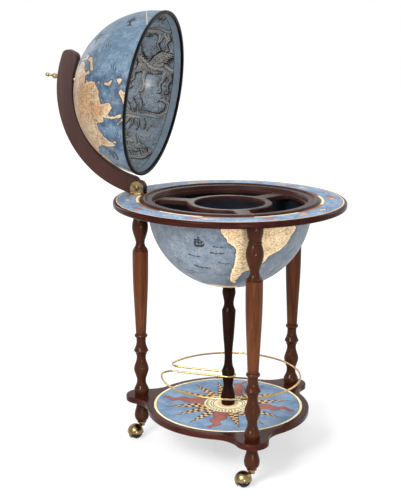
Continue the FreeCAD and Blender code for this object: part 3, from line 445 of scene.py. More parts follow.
class Finish(Bench):
    """A material for one of the object's finishes. Constant values go straight to the shader's sockets."""

    def __init__(self, name, **constant):
        self.material = bpy.data.materials.new(name)
        self.material.use_nodes = True
        super().__init__(self.material.node_tree)
        self.shader = self.tree.nodes["Principled BSDF"]
        for key, value in constant.items():
            self.shader.inputs[key.replace("_", " ")].default_value = value

    def paint(self, colour, roughness=None, height=None, depth=None, strength=None):
        """Joins a colour and a roughness to the shader, and a height as a bump of a depth and strength."""
        self.join(colour, self.shader.inputs["Base Color"])
        if roughness is not None:
            self.join(roughness, self.shader.inputs["Roughness"])
        if height is not None:
            bump = self.node("Bump", None, Strength=strength, Distance=depth, Height=height)
            self.join(bump, self.shader.inputs["Normal"])
        return self


def grained(axis, along, across):
    """Scales of a pattern on X, Y and Z: one along the axis of the grain and another across it."""
    return tuple(along if k == axis else across for k in range(3))


def lacquered(name, dark, light, warm, grain, gloss, shine=0.25, shade_tone=None, shaded_spans=()):
    """Stained and lacquered wood: streaks drawn out along the grain, fine pores and a slow drift of colour.
    A painted shade tone, where there is one, comes in over spans of height, and a painted shade darkens the
    hollows of a turning to a quarter of its dark tone."""
    wood = Finish(name, Specular_IOR_Level=shine)
    streak = wood.cloud(wood.place(grained(grain, 4.5, 70.0)), 1.0, 6.0, 0.62, 0.4)
    pore = wood.cloud(wood.place(grained(grain, 16.0, 420.0)), 1.0, 2.0, 0.5).rise(0.62, 0.74)
    drift = wood.cloud(wood.place(grained(grain, 2.0, 9.0)), 1.0, 2.0)
    # deep is the painted shade tone for the hollows of a turning, a quarter of the dark tone
    deep = (*[0.25 * v for v in dark[:3]], 1.0)
    colour = wood.mix(streak.rise(0.3, 0.72), dark, light)
    colour = wood.mix(drift.rise(0.4, 0.7) * 0.55, colour, warm)
    colour = wood.mix(pore * 0.45, colour, dark)
    # painted shade: the wood darkens towards the shade tone over each span of height
    for start, end in shaded_spans:
        height = wood.split(wood.place())[2]
        colour = wood.mix(height.rise(start, end) * 0.8, colour, shade_tone)
    # painted shade: the hollows of a turning darken towards that tone
    colour = wood.mix(wood.kept("hollow_shade") * 0.8, colour, deep)
    worn = wood.cloud(wood.place(), 35.0, 3.0)
    return wood.paint(colour, gloss + worn * 0.12, streak * 0.6 - pore, 0.0002, 0.18)


def metal(name, bright, tarnish, low, spread):
    """Metal with a patina that lies in clouds, and fine scratches in its roughness."""
    plate = Finish(name, Metallic=1.0)
    cloud = plate.cloud(plate.place(), 70.0, 5.0, 0.6)
    scratch = plate.cloud(plate.place((900.0, 900.0, 60.0)), 1.0, 2.0)
    colour = plate.mix(cloud.rise(0.42, 0.75), bright, tarnish)
    return plate.paint(colour, low + cloud * spread + scratch * 0.08, scratch, 0.00005, 0.2)


def moulded(name, colour, second, rough, grain, shine):
    """Moulded plastic with a fine spark-eroded skin and faint flow clouds."""
    plastic = Finish(name, Specular_IOR_Level=shine)
    flow = plastic.cloud(plastic.place(), 14.0, 4.0)
    pitting = plastic.cloud(plastic.place(), grain, 2.0)
    tone = plastic.mix(flow.rise(0.35, 0.7), colour, second)
    return plastic.paint(tone, rough + pitting * 0.14, pitting, 0.0001, 0.25)


# painted shade on the legs and feet: darker above about 0.51 m under the ring and below about 0.26 m towards
# the floor
leg_wood = lacquered("leg_wood", tint(54, 26, 13), tint(104, 60, 34), tint(82, 42, 21), ALONG_Z, gloss=0.08,
                     shine=0.1, shade_tone=tint(52, 25, 13), shaded_spans=[(0.296, 0.262), (0.49, 0.512)])
# The column's near-black tone is partly its dark stain and partly painted shade under the bowl.
column_wood = lacquered("column_wood", tint(22, 10, 6), tint(40, 20, 13), tint(32, 14, 9), ALONG_Z,
                        gloss=0.12, shine=0.04)
dark_wood = lacquered("dark_wood", tint(36, 13, 9), tint(57, 25, 18), tint(50, 17, 12), ALONG_X,
                      gloss=0.16, shine=0.05)
shelf_wood = lacquered("shelf_wood", tint(46, 18, 13), tint(70, 33, 25), tint(61, 24, 17), ALONG_X,
                       gloss=0.14, shine=0.08)
# painted shade on the arm: darker towards its lower end
arm_wood = lacquered("arm_wood", tint(76, 58, 57), tint(87, 68, 66), tint(83, 61, 59), ALONG_Z, gloss=0.46,
                     shine=0.1, shade_tone=tint(60, 34, 29), shaded_spans=[(0.98, 0.68)])
dowel_wood = lacquered("dowel_wood", tint(170, 132, 92), tint(206, 172, 128), tint(190, 150, 106), ALONG_Z,
                       gloss=0.45)
brass = metal("antique_brass", tint(150, 128, 92), tint(72, 57, 39), low=0.13, spread=0.16)
rail_brass = metal("rail_brass", tint(192, 160, 104), tint(172, 138, 88), low=0.18, spread=0.08)
steel = metal("steel", tint(176, 178, 180), tint(120, 120, 122), low=0.25, spread=0.2)
wheel_black = moulded("wheel_black", tint(22, 21, 22), tint(34, 33, 34), rough=0.32, grain=900.0, shine=0.12)
tray_brown = moulded("tray_brown", tint(54, 33, 29), tint(68, 45, 40), rough=0.2, grain=700.0, shine=0.035)
tray_dark = moulded("tray_dark", tint(24, 26, 33), tint(38, 42, 52), rough=0.3, grain=500.0, shine=0.1)
rim_dark = moulded("rim_dark", tint(11, 10, 12), tint(20, 19, 21), rough=0.3, grain=600.0, shine=0.05)


def axis_distance(bench, scale=1000.0):
    """Distance from the Z axis, in millimetres: the root of x squared plus y squared."""
    x, y = bench.split(bench.place())[:2]
    return (x * x + y * y).math("SQRT") * scale


def axis_angle(bench):
    """Angle about the Z axis in radians: the arc tangent of y over x."""
    x, y = bench.split(bench.place())[:2]
    return y.math("ARCTAN2", x)


def fan(angle, count, shift=0.0):
    """Angle from the middle of the nearest of evenly spaced sectors, in radians."""
    whole = 2.0 * math.pi / count
    part = (angle * (1.0 / whole) + (0.5 + shift + count)).math("FRACT")
    return (part - 0.5) * whole


def compass_print():
    """A compass rose of sixteen points on blue paper: four broad wavy rays with three chequered rays between
    each pair, round a cream hub with rings of teeth and dashes, inside a cream line. A ray is where the
    distance across its sector is less than a half width that shrinks towards its tip. Radii are in
    millimetres."""
    paper = Finish("compass_print", Specular_IOR_Level=0.04)
    radius, angle = axis_distance(paper), axis_angle(paper)
    hub, edge, line_in, line_out = 61.0, 180.4, 181.6, 188.0
    ray_tip, ray_long, ray_wide = 166.0, 110.0, 17.0
    flame_tip, flame_long, flame_wide = 173.0, 113.0, 22.0
    flame_sector = 0.196
    soft = 0.25
    cloud = paper.cloud(paper.place(), 26.0, 6.0, 0.65)
    speck = paper.cloud(paper.place(), 320.0, 3.0)
    ink = tint(26, 22, 22)
    cream = paper.mix(cloud.rise(0.35, 0.7), tint(255, 246, 210), tint(250, 232, 184))
    colour = paper.mix(cloud.rise(0.3, 0.72), tint(103, 133, 167), tint(149, 174, 199))
    colour = paper.mix(speck.rise(0.5, 0.7) * 0.25, colour, tint(80, 108, 146))

    apart = fan(angle, 4, -0.033)
    across = fan(angle, 16, -0.133) * radius
    half = (ray_tip - radius) * (ray_wide / ray_long)
    straight = (half - abs(across)).rise(-soft, soft) * (abs(apart) > flame_sector)
    square = (radius * 0.058 + (across > 0.0) * 0.5).math("FRACT").rise(0.46, 0.54)
    patch = paper.cells(paper.place(), 150.0).rise(0.5, 0.38)
    chequer = paper.mix(square, tint(236, 196, 142), ink)
    chequer = paper.mix(patch * square * 0.4, chequer, tint(176, 124, 82))
    chequer = paper.mix((half - abs(across)).rise(1.7, 0.9), chequer, ink)
    colour = paper.mix(straight, colour, chequer)

    wave = ((radius - 70.0) * 0.15).math("SINE") * (radius - 56.0) * 0.075
    swing = apart * radius + wave
    flame_half = ((flame_tip - radius).at_least(0.0) * (1.0 / flame_long)).math("SQRT") * flame_wide - 0.6
    flame = paper.mix((flame_half - abs(swing)).rise(3.0, 0.6), tint(168, 106, 96), tint(104, 50, 46))
    flame = paper.mix(speck.rise(0.48, 0.62) * 0.5, flame, tint(112, 56, 50))
    flame = paper.mix(cloud.rise(0.5, 0.75) * 0.35, flame, tint(210, 140, 118))
    colour = paper.mix((flame_half - abs(swing)).rise(-soft, soft), colour, flame)

    colour = paper.mix(radius.rise(hub + 0.6, hub), colour, cream)
    colour = paper.mix(radius.near(hub, 1.0) * 0.7, colour, ink)
    colour = paper.mix(radius.rise(30.0, 24.0) * 0.7, colour, tint(240, 190, 130))
    tooth = abs(fan(angle, 40)) * radius - (radius - 47.5) * 0.36
    colour = paper.mix(tooth.rise(0.3, -0.3) * (radius > 48.5) * (radius < 56.0), colour, ink)
    dash = abs(fan(angle, 22) * radius).rise(4.6, 4.0)
    colour = paper.mix(radius.near(43.5, 1.9) * dash, colour, ink)
    colour = paper.mix(radius.near(37.5, 1.3), colour, tint(124, 74, 46))

    colour = paper.mix(radius > edge, colour, tint(64, 34, 26))
    colour = paper.mix((radius > line_in) * (radius < line_out), colour, cream)
    age = paper.cloud(paper.place(), 9.0, 5.0, 0.6).rise(0.5, 0.8)
    colour = paper.mix(age * 0.1, colour, tint(150, 112, 72))
    return paper.paint(colour, 0.38 + cloud * 0.12, speck, 0.00004, 0.15)


def band_print():
    """Horizon band: a scale of cream and brown at its inner edge, a mottled blue field with a faint vine,
    lozenges and dots, and a fine pale line at its outer edge. The vine is two sine waves about the middle
    radius, and a lozenge is where the distances along and across add up to less than its size. Radii are in
    millimetres."""
    paper = Finish("band_print", Specular_IOR_Level=0.03)
    radius, angle = axis_distance(paper), axis_angle(paper)
    mid, scale_in, step_in, step_out, scale_out = 252.0, 222.0, 226.5, 230.0, 230.4
    edge, line_in, line_out = 273.4, 274.2, 277.4
    cloud = paper.cloud(paper.place(), 24.0, 6.0, 0.68)
    blot = paper.cloud(paper.place(), 70.0, 5.0, 0.62)
    speck = paper.cloud(paper.place(), 300.0, 3.0)
    ink = tint(58, 66, 92)
    colour = paper.mix(cloud.rise(0.3, 0.7), tint(106, 136, 174), tint(158, 183, 208))
    colour = paper.mix(blot.rise(0.5, 0.7) * 0.45, colour, tint(84, 104, 140))
    colour = paper.mix(blot.rise(0.42, 0.3) * 0.4, colour, tint(206, 214, 222))
    middle = radius - mid
    for shift in (0.0, math.pi):
        vine = (angle * 24.0 + shift).math("SINE") * 10.0
        colour = paper.mix(abs(middle - vine).rise(1.3, 0.6) * 0.45, colour, ink)
    dot = (fan(angle, 37, 0.25) * mid).math("POWER", 2.0) * 0.6 + (middle - 6.0).math("POWER", 2.0)
    colour = paper.mix(dot.rise(7.0, 4.0) * 0.7, colour, tint(236, 230, 218))
    gems = ((7, 0.62, tint(232, 176, 132)), (9, 0.34, tint(188, 104, 96)), (5, 0.2, tint(226, 212, 176)))
    for count, shift, tone in gems:
        gem = abs(fan(angle, count, shift) * mid) * 0.42 + abs(middle + 2.0) + (blot - 0.5) * 5.0
        colour = paper.mix(gem.rise(9.6, 8.4) * 0.8, colour, ink)
        colour = paper.mix(gem.rise(8.2, 7.0) * 0.9, colour, tone)

    scale = paper.mix(fan(angle, 6) > 0.0, tint(160, 106, 70), tint(255, 242, 204))
    colour = paper.mix(radius.rise(scale_out, step_out), colour, scale)
    step = abs(fan(angle, 90) * radius).rise(0.7, 0.4) * (radius > step_in) * (radius < step_out)
    lines = radius.near(scale_out, 1.2).at_least(radius.near(scale_in, 1.4)).at_least(step * 0.5)
    colour = paper.mix(lines * 0.8, colour, tint(78, 48, 38))

    colour = paper.mix(radius > edge, colour, tint(70, 56, 66))
    colour = paper.mix((radius > line_in) * (radius < line_out), colour, tint(252, 216, 172))
    age = paper.cloud(paper.place(), 8.0, 5.0, 0.6).rise(0.5, 0.8)
    colour = paper.mix(age * 0.1, colour, tint(150, 120, 96))
    colour = paper.mix(speck.rise(0.55, 0.72) * 0.22, colour, ink)
    return paper.paint(colour, 0.34 + cloud * 0.1, speck, 0.00004, 0.15)


def graticule(bench, globe, limit=0.9999, least=0.0004):
    """Latitude and longitude in degrees from a direction, and the cosine of the latitude, which is how far
    degrees of longitude narrow: the arc sine of z, the arc tangent of y over x, and the root of 1 - z
    squared, each held off the poles."""
    x, y, z = bench.split(globe)
    north = z.at_most(limit).at_least(-limit).math("ARCSINE") * DEGREES
    east = y.math("ARCTAN2", x) * DEGREES
    return north, east, (1.0 - z * z).at_least(least).math("SQRT")


def every(value, step, width):
    """1 on lines at every step of a value, with a width in degrees."""
    off = ((value / step + 0.5).math("FRACT") - 0.5) * step
    return abs(off).rise(width, width * 0.4)


TROPIC = 23.4
MAP_TILT_POLE = (0.097, 0.385, 0.918)
SKY_TILT_POLE = (0.399, 0.0, 0.917)


def globe_map(name, sea_light, sea_dark, land_light, land_dark, halo, speckle):
    """Old-style map: mottled sea with dark hatched coasts, and tan land with hills, rivers, borders and small
    marks inside a pale shore and an inked line. Land is where the stored depth, roughened by noise, is
    positive."""
    paper = Finish(name, Specular_IOR_Level=0.1)
    globe = paper.kept("globe", "Vector")
    north, east, slim = graticule(paper, globe)
    cloud = paper.cloud(globe, 5.0, 7.0, 0.68)
    blot = paper.cloud(globe, 13.0, 6.0, 0.65)
    fine = paper.cloud(globe, 60.0, 5.0, 0.6)
    mark = paper.cloud(globe, 84.0, 3.0, 0.55)
    shore = paper.kept("land") + (paper.cloud(globe, 16.0, 6.0, 0.62) - 0.5) * 3.2
    ink = tint(74, 54, 42)
    deep = tint(66, 88, 112)

    sea = paper.mix(cloud.rise(0.3, 0.7), sea_dark, sea_light)
    sea = paper.mix(blot.rise(0.46, 0.72) * 0.4, sea, deep)
    sea = paper.mix(blot.rise(0.46, 0.3) * 0.35, sea, tint(172, 186, 200))
    sea = paper.mix(fine.rise(0.47, 0.66) * 0.6, sea, deep)
    sea = paper.mix(shore.rise(-6.0, -0.3) * (blot.rise(0.25, 0.6) * 0.6 + 0.4) * halo, sea, deep)
    stroke = every(north + fine * 1.2, 1.0, 0.4) * blot.rise(0.4, 0.56)
    sea = paper.mix(stroke * shore.rise(-9.0, -2.0) * halo, sea, tint(46, 60, 80))
    note = mark.rise(0.56, 0.64) * paper.cloud(globe, 8.0, 3.0).rise(0.52, 0.6)
    sea = paper.mix(note * every(north + fine, 3.2, 1.2) * 0.75, sea, tint(48, 58, 76))
    lines = every(north, 10.0, 0.14).at_least(every(east, 10.0, 0.14 / slim))
    sea = paper.mix(lines * 0.13, sea, tint(196, 204, 204))
    tilt = paper.latitude(globe, MAP_TILT_POLE)
    sea = paper.mix(tilt.near(0.0, 0.42) * 0.6, sea, tint(226, 214, 170))
    tropic = abs(abs(north) - TROPIC).rise(0.26, 0.12) * every(east, 2.0, 0.7)
    sea = paper.mix(tropic * 0.22, sea, tint(214, 206, 172))

    region = paper.node("SeparateColor", None, paper.cells(globe, 5.5, "F1", "Color"), out=0)
    ground = paper.mix(cloud.rise(0.3, 0.7), land_dark, land_light)
    ground = paper.mix(region.rise(0.3, 0.9) * 0.4, ground, tint(206, 152, 96))
    ground = paper.mix(blot.rise(0.46, 0.7) * 0.5, ground, land_light)
    fleck = paper.cloud(globe, 30.0, 4.0, 0.6).rise(0.52, 0.62)
    ground = paper.mix(fleck * speckle * 0.75, ground, tint(150, 104, 68))
    ground = paper.mix(north.rise(20.0, 7.0) * 0.5, ground, tint(250, 228, 186))
    wander = paper.node("TexNoise", None, Vector=globe, Scale=24.0, out="Color")
    moved = paper.node("VectorMath", {"operation": "ADD"}, globe, paper.scaled(wander, (0.05, 0.05, 0.05)))
    hill = paper.cells(moved, 42.0)
    hills = hill.near(0.42, 0.1) * paper.cloud(globe, 7.0, 3.0).rise(0.44, 0.6)
    ground = paper.mix(hills * speckle, ground, ink)
    river = abs(paper.cloud(globe, 6.5, 6.0, 0.6) - 0.5).rise(0.011, 0.004)
    border = paper.cells(globe, 5.5, "DISTANCE_TO_EDGE").rise(0.02, 0.008)
    ground = paper.mix(river * 0.5, ground, tint(96, 100, 104))
    ground = paper.mix(border * 0.4, ground, tint(140, 72, 50))
    ground = paper.mix(mark.rise(0.55, 0.66) * speckle, ground, tint(104, 66, 42))
    ground = paper.mix(fine.rise(0.53, 0.64) * speckle * 0.8, ground, tint(126, 82, 54))
    ground = paper.mix(shore.rise(1.9, 0.5) * 0.6, ground, land_light)
    ground = paper.mix(lines * 0.15, ground, ink)

    colour = paper.mix(shore.rise(-0.12, 0.12), sea, ground)
    colour = paper.mix((shore + 0.12).near(0.0, 0.42) * 0.8, colour, tint(60, 52, 50))
    drawn = paper.kept("ink") + (paper.cloud(globe, 90.0, 2.0) - 0.5) * 0.3
    colour = paper.mix(drawn.rise(0.16, -0.1) * 0.92, colour, tint(34, 34, 42))
    age = paper.cloud(globe, 2.6, 6.0, 0.6).rise(0.48, 0.8)
    colour = paper.mix(age * 0.14, colour, tint(150, 128, 104))
    return paper.paint(colour, 0.32 + cloud * 0.14, fine, 0.00006, 0.12)


def sky_print():
    """Star chart: grey-blue ground, engraved beasts and vessels whose limbs are shaded by lines across them,
    fine circles and a plain band along the rim. A limb is where the stored gap to a stroke is negative, and
    its lines are sines of the place along it and across it."""
    paper = Finish("sky_print", Specular_IOR_Level=0.1, Coat_Weight=0.7, Coat_Roughness=0.2)
    globe = paper.kept("globe", "Vector")
    north, east, slim = graticule(paper, globe)
    cloud = paper.cloud(globe, 4.0, 7.0, 0.66)
    fine = paper.cloud(globe, 46.0, 5.0, 0.6)
    sweep = paper.cloud(globe, 9.0, 5.0, 0.55)
    ink = tint(26, 25, 28)
    colour = paper.mix(cloud.rise(0.3, 0.72), tint(130, 149, 166), tint(168, 182, 194))
    colour = paper.mix(sweep.rise(0.46, 0.66) * 0.55, colour, tint(156, 144, 132))
    drape = paper.cloud(globe, 6.0, 3.0, 0.5, 1.4)
    strand = every(drape * 22.0, 1.6, 0.36) * paper.cloud(globe, 8.0, 2.0).rise(0.4, 0.52)
    colour = paper.mix(strand * 0.75, colour, ink)
    engraved = every(north + sweep * 14.0, 1.5, 0.5) * sweep.rise(0.4, 0.62)
    colour = paper.mix(engraved * 0.4, colour, tint(60, 66, 74))
    colour = paper.mix(fine.rise(0.5, 0.72) * 0.3, colour, tint(80, 88, 96))
    rings = every(north, 30.0, 0.22).at_least(every(east, 30.0, 0.2 / slim))
    tilt = paper.latitude(globe, SKY_TILT_POLE)
    rings = rings.at_least(abs(abs(tilt) - 2.0).rise(0.24, 0.1))
    colour = paper.mix(rings * 0.4, colour, tint(56, 60, 68))

    figure = paper.kept("figure") + (paper.cloud(globe, 30.0, 4.0, 0.6) - 0.5) * 1.4
    side = paper.kept("side")
    along = paper.kept("along")
    inside = figure.rise(0.12, -0.12)
    shade = (side * 0.6 + sweep * 1.4 - 0.6).at_most(1.1).at_least(-0.8)
    across = (along * 4.4 + side * side * 1.8 + sweep * 9.0).math("SINE")
    lines = (across + shade * 2.2 - 1.0).rise(-0.2, 0.4)
    folds = (side * 6.0 + sweep * 14.0 + along * 0.4).math("SINE").rise(0.35, 0.8)
    body = paper.mix(cloud.rise(0.35, 0.65), tint(150, 157, 160), tint(192, 182, 166))
    body = paper.mix(folds * 0.8, body, ink)
    body = paper.mix(lines * 0.7, body, ink)
    body = paper.mix(shade.rise(0.3, 0.85) * 0.85, body, ink)
    hatch = every(north * 0.6 + east * 0.5 + sweep * 6.0, 1.3, 0.5)
    cast = figure.rise(4.2, 0.2) * hatch * sweep.rise(0.42, 0.56)
    colour = paper.mix(cast * 0.6, colour, ink)
    colour = paper.mix(inside * 0.8, colour, body)
    colour = paper.mix(figure.near(0.0, 0.44 + shade * 0.3) * 0.94, colour, ink)
    star = paper.kept("star")
    colour = paper.mix(star.rise(0.1, -0.1) * (1.0 - inside) * 0.6, colour, tint(190, 192, 186))
    colour = paper.mix(star.near(0.25, 0.2) * (1.0 - inside) * 0.5, colour, ink)

    plain = paper.mix(cloud.rise(0.3, 0.7), tint(128, 144, 158), tint(148, 162, 176))
    band_top = 7.0
    colour = paper.mix(north.rise(band_top + 0.2, band_top - 0.2), colour, plain)
    colour = paper.mix(north.near(band_top, 0.4) * 0.7, colour, tint(52, 50, 52))
    return paper.paint(colour, 0.26 + cloud * 0.1, fine, 0.00006, 0.12)


compass_paper = compass_print()
band_paper = band_print()
lid_paper = globe_map("lid_map", tint(118, 140, 158), tint(92, 114, 133),
                      tint(199, 178, 146), tint(157, 131, 101), halo=0.75, speckle=0.85)
# The bowl's sea is printed blue, with greyer and lighter tints than the lid's as a painted reflection of the
# pale floor.
bowl_paper = globe_map("bowl_map", tint(135, 144, 153), tint(108, 118, 128),
                       tint(250, 226, 188), tint(234, 192, 142), halo=0.25, speckle=0.6)
sky_paper = sky_print()


# Coasts of the map, as (east, north) in degrees

EURASIA = [
    (-9, 37), (-9, 43), (-2, 43.5), (-1, 46), (-5, 48.5), (2, 51), (8, 54), (8, 57), (10.5, 57.5),
    (12, 54.5), (14, 54), (19, 54.5), (21, 57), (24, 59), (30, 60), (25, 60.5), (22, 61), (25, 65.5),
    (22, 66), (17, 61), (18, 59.5), (14, 55.5), (11, 59), (6, 58.5), (5, 62), (12, 66), (20, 70), (28, 71),
    (41, 67), (33, 66.5), (38, 64), (44, 66), (44, 68.5), (54, 68.5), (60, 69), (68, 69), (68, 73),
    (73, 72), (73, 68), (80, 72), (87, 75), (98, 76.5), (105, 77.5), (113, 74), (128, 72.5), (140, 72.5),
    (152, 71), (161, 69.5), (170, 70), (180, 69), (190, 66), (180, 64.5), (178, 62.5), (170, 60), (163, 58),
    (162, 55), (157, 51), (156, 57), (163, 61.5), (155, 59.5), (143, 59), (135, 54.5), (141, 52), (140, 48),
    (135, 43.5), (130, 42.5), (128, 39.5), (129.5, 36), (126.5, 34.5), (126.5, 37.5), (125, 39.5),
    (121.5, 39), (118, 39), (119, 37.5), (122.5, 37), (119.5, 35), (121.8, 31.5), (121, 28), (118, 24.5),
    (113.5, 22), (110, 21), (106, 19.5), (109, 13.5), (108.5, 11.5), (105, 8.8), (105, 10.5), (102.5, 12),
    (100.5, 13.5), (99.3, 10.5), (103.3, 4), (104, 1.5), (101, 2.8), (99, 7.5), (98.3, 10.5), (97.5, 16.5),
    (94.5, 16), (92, 21), (90.5, 22.5), (87, 21.5), (82, 16.5), (80, 13), (79.8, 10.3), (77.5, 8), (75, 12),
    (73, 17), (72.7, 21), (70.5, 20.8), (67, 24.8), (61.5, 25.2), (57, 26.8), (54, 26.5), (51, 28),
    (48.5, 30), (50, 26.5), (51.5, 25.5), (54, 24), (56.3, 26), (58.8, 22.5), (55.5, 17.5), (52, 15.8),
    (45, 12.8), (43, 13.5), (42.5, 16.5), (39, 21), (35, 28), (34.5, 31), (36, 36.5), (30.5, 36.5),
    (27.5, 37), (26.5, 40), (29, 41), (36, 41.5), (41.5, 41.7), (38, 44.5), (35, 45.5), (33, 46),
    (31, 46.5), (28.5, 44), (28, 41.8), (24, 40.8), (23, 37), (21.5, 37), (19.5, 40.5), (19, 42),
    (15, 44.5), (13.5, 45.5), (12.5, 44), (14, 42.3), (18, 40), (16.5, 38.5), (15.5, 40), (12.5, 41.7),
    (10, 44), (7, 43.5), (3.2, 43), (3, 42), (0, 39.8), (-0.5, 38.3), (-2, 36.8), (-5.5, 36),
]
AFRICA = [
    (-6, 35.8), (-10, 30), (-17, 21), (-17.5, 14.7), (-13, 8.5), (-8, 4.4), (3, 6.4), (9, 4), (9.5, 0),
    (12, -5), (13.5, -11), (12, -17), (15, -26), (18, -33), (20, -34.8), (26, -34), (32, -28.5),
    (35.5, -24), (35, -20), (40.5, -15), (39.5, -7), (43, -1), (48.5, 5), (51.2, 11.8), (44, 11),
    (39.5, 15), (37, 21), (33, 28), (32.5, 31.2), (25, 31.7), (20, 31), (15.5, 32), (10.5, 34),
    (10.5, 37.2), (3, 36.9), (-2, 35.1),
]
NORTH_AMERICA = [
    (-168, 65.5), (-162, 70), (-156, 71.3), (-141, 69.7), (-128, 70), (-115, 68.5), (-105, 68), (-95, 68.5),
    (-94, 72), (-86, 69.5), (-82, 68.5), (-86, 66), (-94, 61), (-94, 58.8), (-88, 56.5), (-82.5, 55),
    (-82, 52.8), (-79.5, 51.3), (-79, 54.5), (-77, 57), (-78.3, 62.3), (-70, 61), (-65, 58.7), (-61.5, 57),
    (-56, 53), (-60, 50), (-66.5, 50), (-70, 47), (-64.5, 49), (-65, 46.5), (-61, 45.5), (-66, 43.7),
    (-70, 43.5), (-70.5, 41.7), (-74, 40.5), (-76, 37), (-75.5, 35.2), (-81, 31.5), (-80.2, 26),
    (-82.5, 28), (-84, 30), (-89.5, 30), (-94, 29.5), (-97.3, 27), (-97.5, 22), (-95.5, 18.7), (-91, 18.6),
    (-90, 21), (-87, 21.3), (-88.3, 16.5), (-83.5, 15), (-83.5, 11), (-80, 9.2), (-77.5, 8.5), (-79.5, 7.5),
    (-83, 8.5), (-86, 11.5), (-91.5, 14), (-95, 16), (-101, 17.5), (-105.5, 20.3), (-109, 25.5), (-113, 31),
    (-114.5, 31), (-110, 23.3), (-112, 26), (-115.5, 30), (-117.5, 33.3), (-122, 37), (-124.2, 41),
    (-124, 47), (-123, 49), (-128, 51.5), (-131, 55.5), (-139, 60), (-147, 60.8), (-152, 59.5), (-158, 56),
    (-164, 54.8), (-158, 58.5), (-162, 59), (-165.5, 61.5), (-161, 64.5),
]
SOUTH_AMERICA = [
    (-77.5, 8.5), (-75.5, 10.8), (-71.5, 12.2), (-64, 10.5), (-60, 9), (-48, 5), (-40, 0), (-33, -2.5),
    (-26, -5), (-23, -8), (-28, -13), (-31, -19), (-36, -23), (-44, -26), (-46, -30), (-50, -34.3),
    (-55, -34), (-54, -37.5), (-61, -39), (-64, -42), (-66, -46.5), (-68.5, -51), (-66, -55), (-70, -55.3),
    (-74, -51), (-75, -46), (-73.5, -40), (-71.5, -32), (-70.3, -19), (-76, -14), (-81, -6), (-80, -2),
    (-78, 2),
]
AUSTRALIA = [
    (113.5, -22), (114, -26), (115.5, -31.5), (115.5, -34.3), (118, -35), (124, -33.2), (131, -31.5),
    (135.5, -34.8), (138, -33), (138, -35.5), (140.5, -38), (146.5, -39), (150, -37.2), (153, -31),
    (153, -26), (149, -21.5), (146, -19), (145, -15), (142.5, -10.8), (141, -15), (139.5, -17.5),
    (135.5, -15), (136.5, -12), (132, -11.5), (129.5, -15), (125.5, -14.2), (122, -18), (117, -20.7),
]
ISLANDS = [
    [(-73, 78.5), (-60, 82), (-35, 83.5), (-20, 82), (-18, 76), (-22, 70), (-32, 68), (-40, 65), (-43, 60),
     (-49, 61.5), (-53, 66), (-52, 70), (-57, 75), (-68, 76)],
    [(131, -1), (135, -3.3), (138, -1.8), (141, -2.6), (145, -4.5), (147.8, -6), (150.5, -10.3), (147, -9.5),
     (144, -7.7), (141, -9.2), (138, -8.3), (137.5, -5.3), (133, -4), (132, -2.8)],
    [(109, 1.5), (111.5, 2.7), (115, 5), (117, 7), (119, 5), (117.8, 1), (116.5, -3.5), (114.5, -4),
     (110.2, -2.8)],
    [(95.3, 5.6), (98, 4), (103.5, 0), (106, -3), (105.8, -5.8), (102.3, -4), (98.8, 1.5)],
    [(105.3, -6.7), (108.5, -6.6), (112.7, -7), (114.5, -8.5), (110, -8.1), (106.5, -7.4)],
    [(119, -5.5), (119, -2.5), (120, 0.8), (124.8, 1.5), (121, 0.4), (121.2, -1), (123, -1), (121.8, -2),
     (122.8, -4.5), (121.3, -4.5), (120.8, -3), (120.4, -5.5)],
    [(120.0, 16), (120.4, 18.7), (122.4, 18.6), (121.9, 15.8), (124.3, 13), (121.8, 13.4), (120.3, 13.9)],
    [(121.8, 7), (124, 8.8), (125.6, 10), (126.8, 7.5), (125.6, 5.5), (124, 6.2)],
    [(130, 31.2), (129.6, 33.7), (133, 35.8), (137, 37.4), (139.8, 41.2), (142, 39.5), (141.2, 35.7),
     (137, 34.3), (133.5, 33.1), (131.3, 31.2)],
    [(139.8, 41.8), (141.5, 45.6), (145.8, 43.3), (143, 41.8)],
    [(141.7, 46), (141.7, 53.7), (143.7, 52), (143.5, 49), (143.8, 46.5)],
    [(120, 22.8), (121.8, 25.4), (121.2, 21.9)],
    [(108.5, 19), (110.8, 20.2), (110.5, 18.2)],
    [(79.6, 8.5), (80.3, 9.9), (82, 7.3), (80.5, 5.8)],
    [(-5.5, 50), (-3, 53.5), (-5, 56), (-5, 58.5), (-2, 57.5), (0, 53), (1.5, 52), (0.5, 51)],
    [(-10, 52), (-9.5, 54), (-7, 55.2), (-6, 52.3)],
    [(-24, 65.3), (-18, 66.3), (-14, 65), (-19, 63.5)],
    [(44, -17), (49.3, -12.2), (50.2, -15.8), (47.3, -24.8), (44.3, -24.5), (43.5, -21.5)],
    [(172.8, -34.5), (175, -37), (178.3, -38), (176, -41.3), (173.9, -39.3)],
    [(172.7, -40.7), (174.2, -41.8), (170.5, -45.8), (166.7, -46), (170, -43)],
    [(-84.8, 22), (-81, 23), (-75, 20.7), (-77.5, 20), (-80, 21.8)],
    [(-74, 19.8), (-69, 19.3), (-69, 18.4), (-74.3, 18.2)],
    [(-59.2, 47.8), (-56, 51.5), (-53, 47)],
    [(-80, 73.5), (-72, 71), (-63, 66.5), (-65, 62.5), (-73, 64.5), (-78, 70)],
    [(-117, 71), (-106, 73), (-102, 69), (-114, 69.5)],
    [(-90, 77), (-88, 81), (-70, 83), (-64, 81.5), (-79, 77)],
    [(52, 71), (57, 74.5), (67, 77), (60, 73.5)],
    [(11, 79), (20, 80.4), (25, 79), (16, 76.8)],
    [(145, -41), (148.3, -41), (146.8, -43.6)],
]
CASPIAN = [(47, 45), (51, 47), (53, 45), (51, 41), (54, 38), (50, 37), (49, 41), (47, 43)]
SOUTH_POLAR = [
    (-180, -78), (-160, -72), (-130, -64), (-100, -61.5), (-75, -63), (-62, -62), (-60, -70), (-40, -76),
    (-20, -72), (0, -69), (40, -67), (80, -66), (120, -65.5), (150, -67.5), (168, -72), (180, -78),
]


def fold(degrees):
    """Angle brought between -180 and 180."""
    return (degrees + 180.0) % 360.0 - 180.0


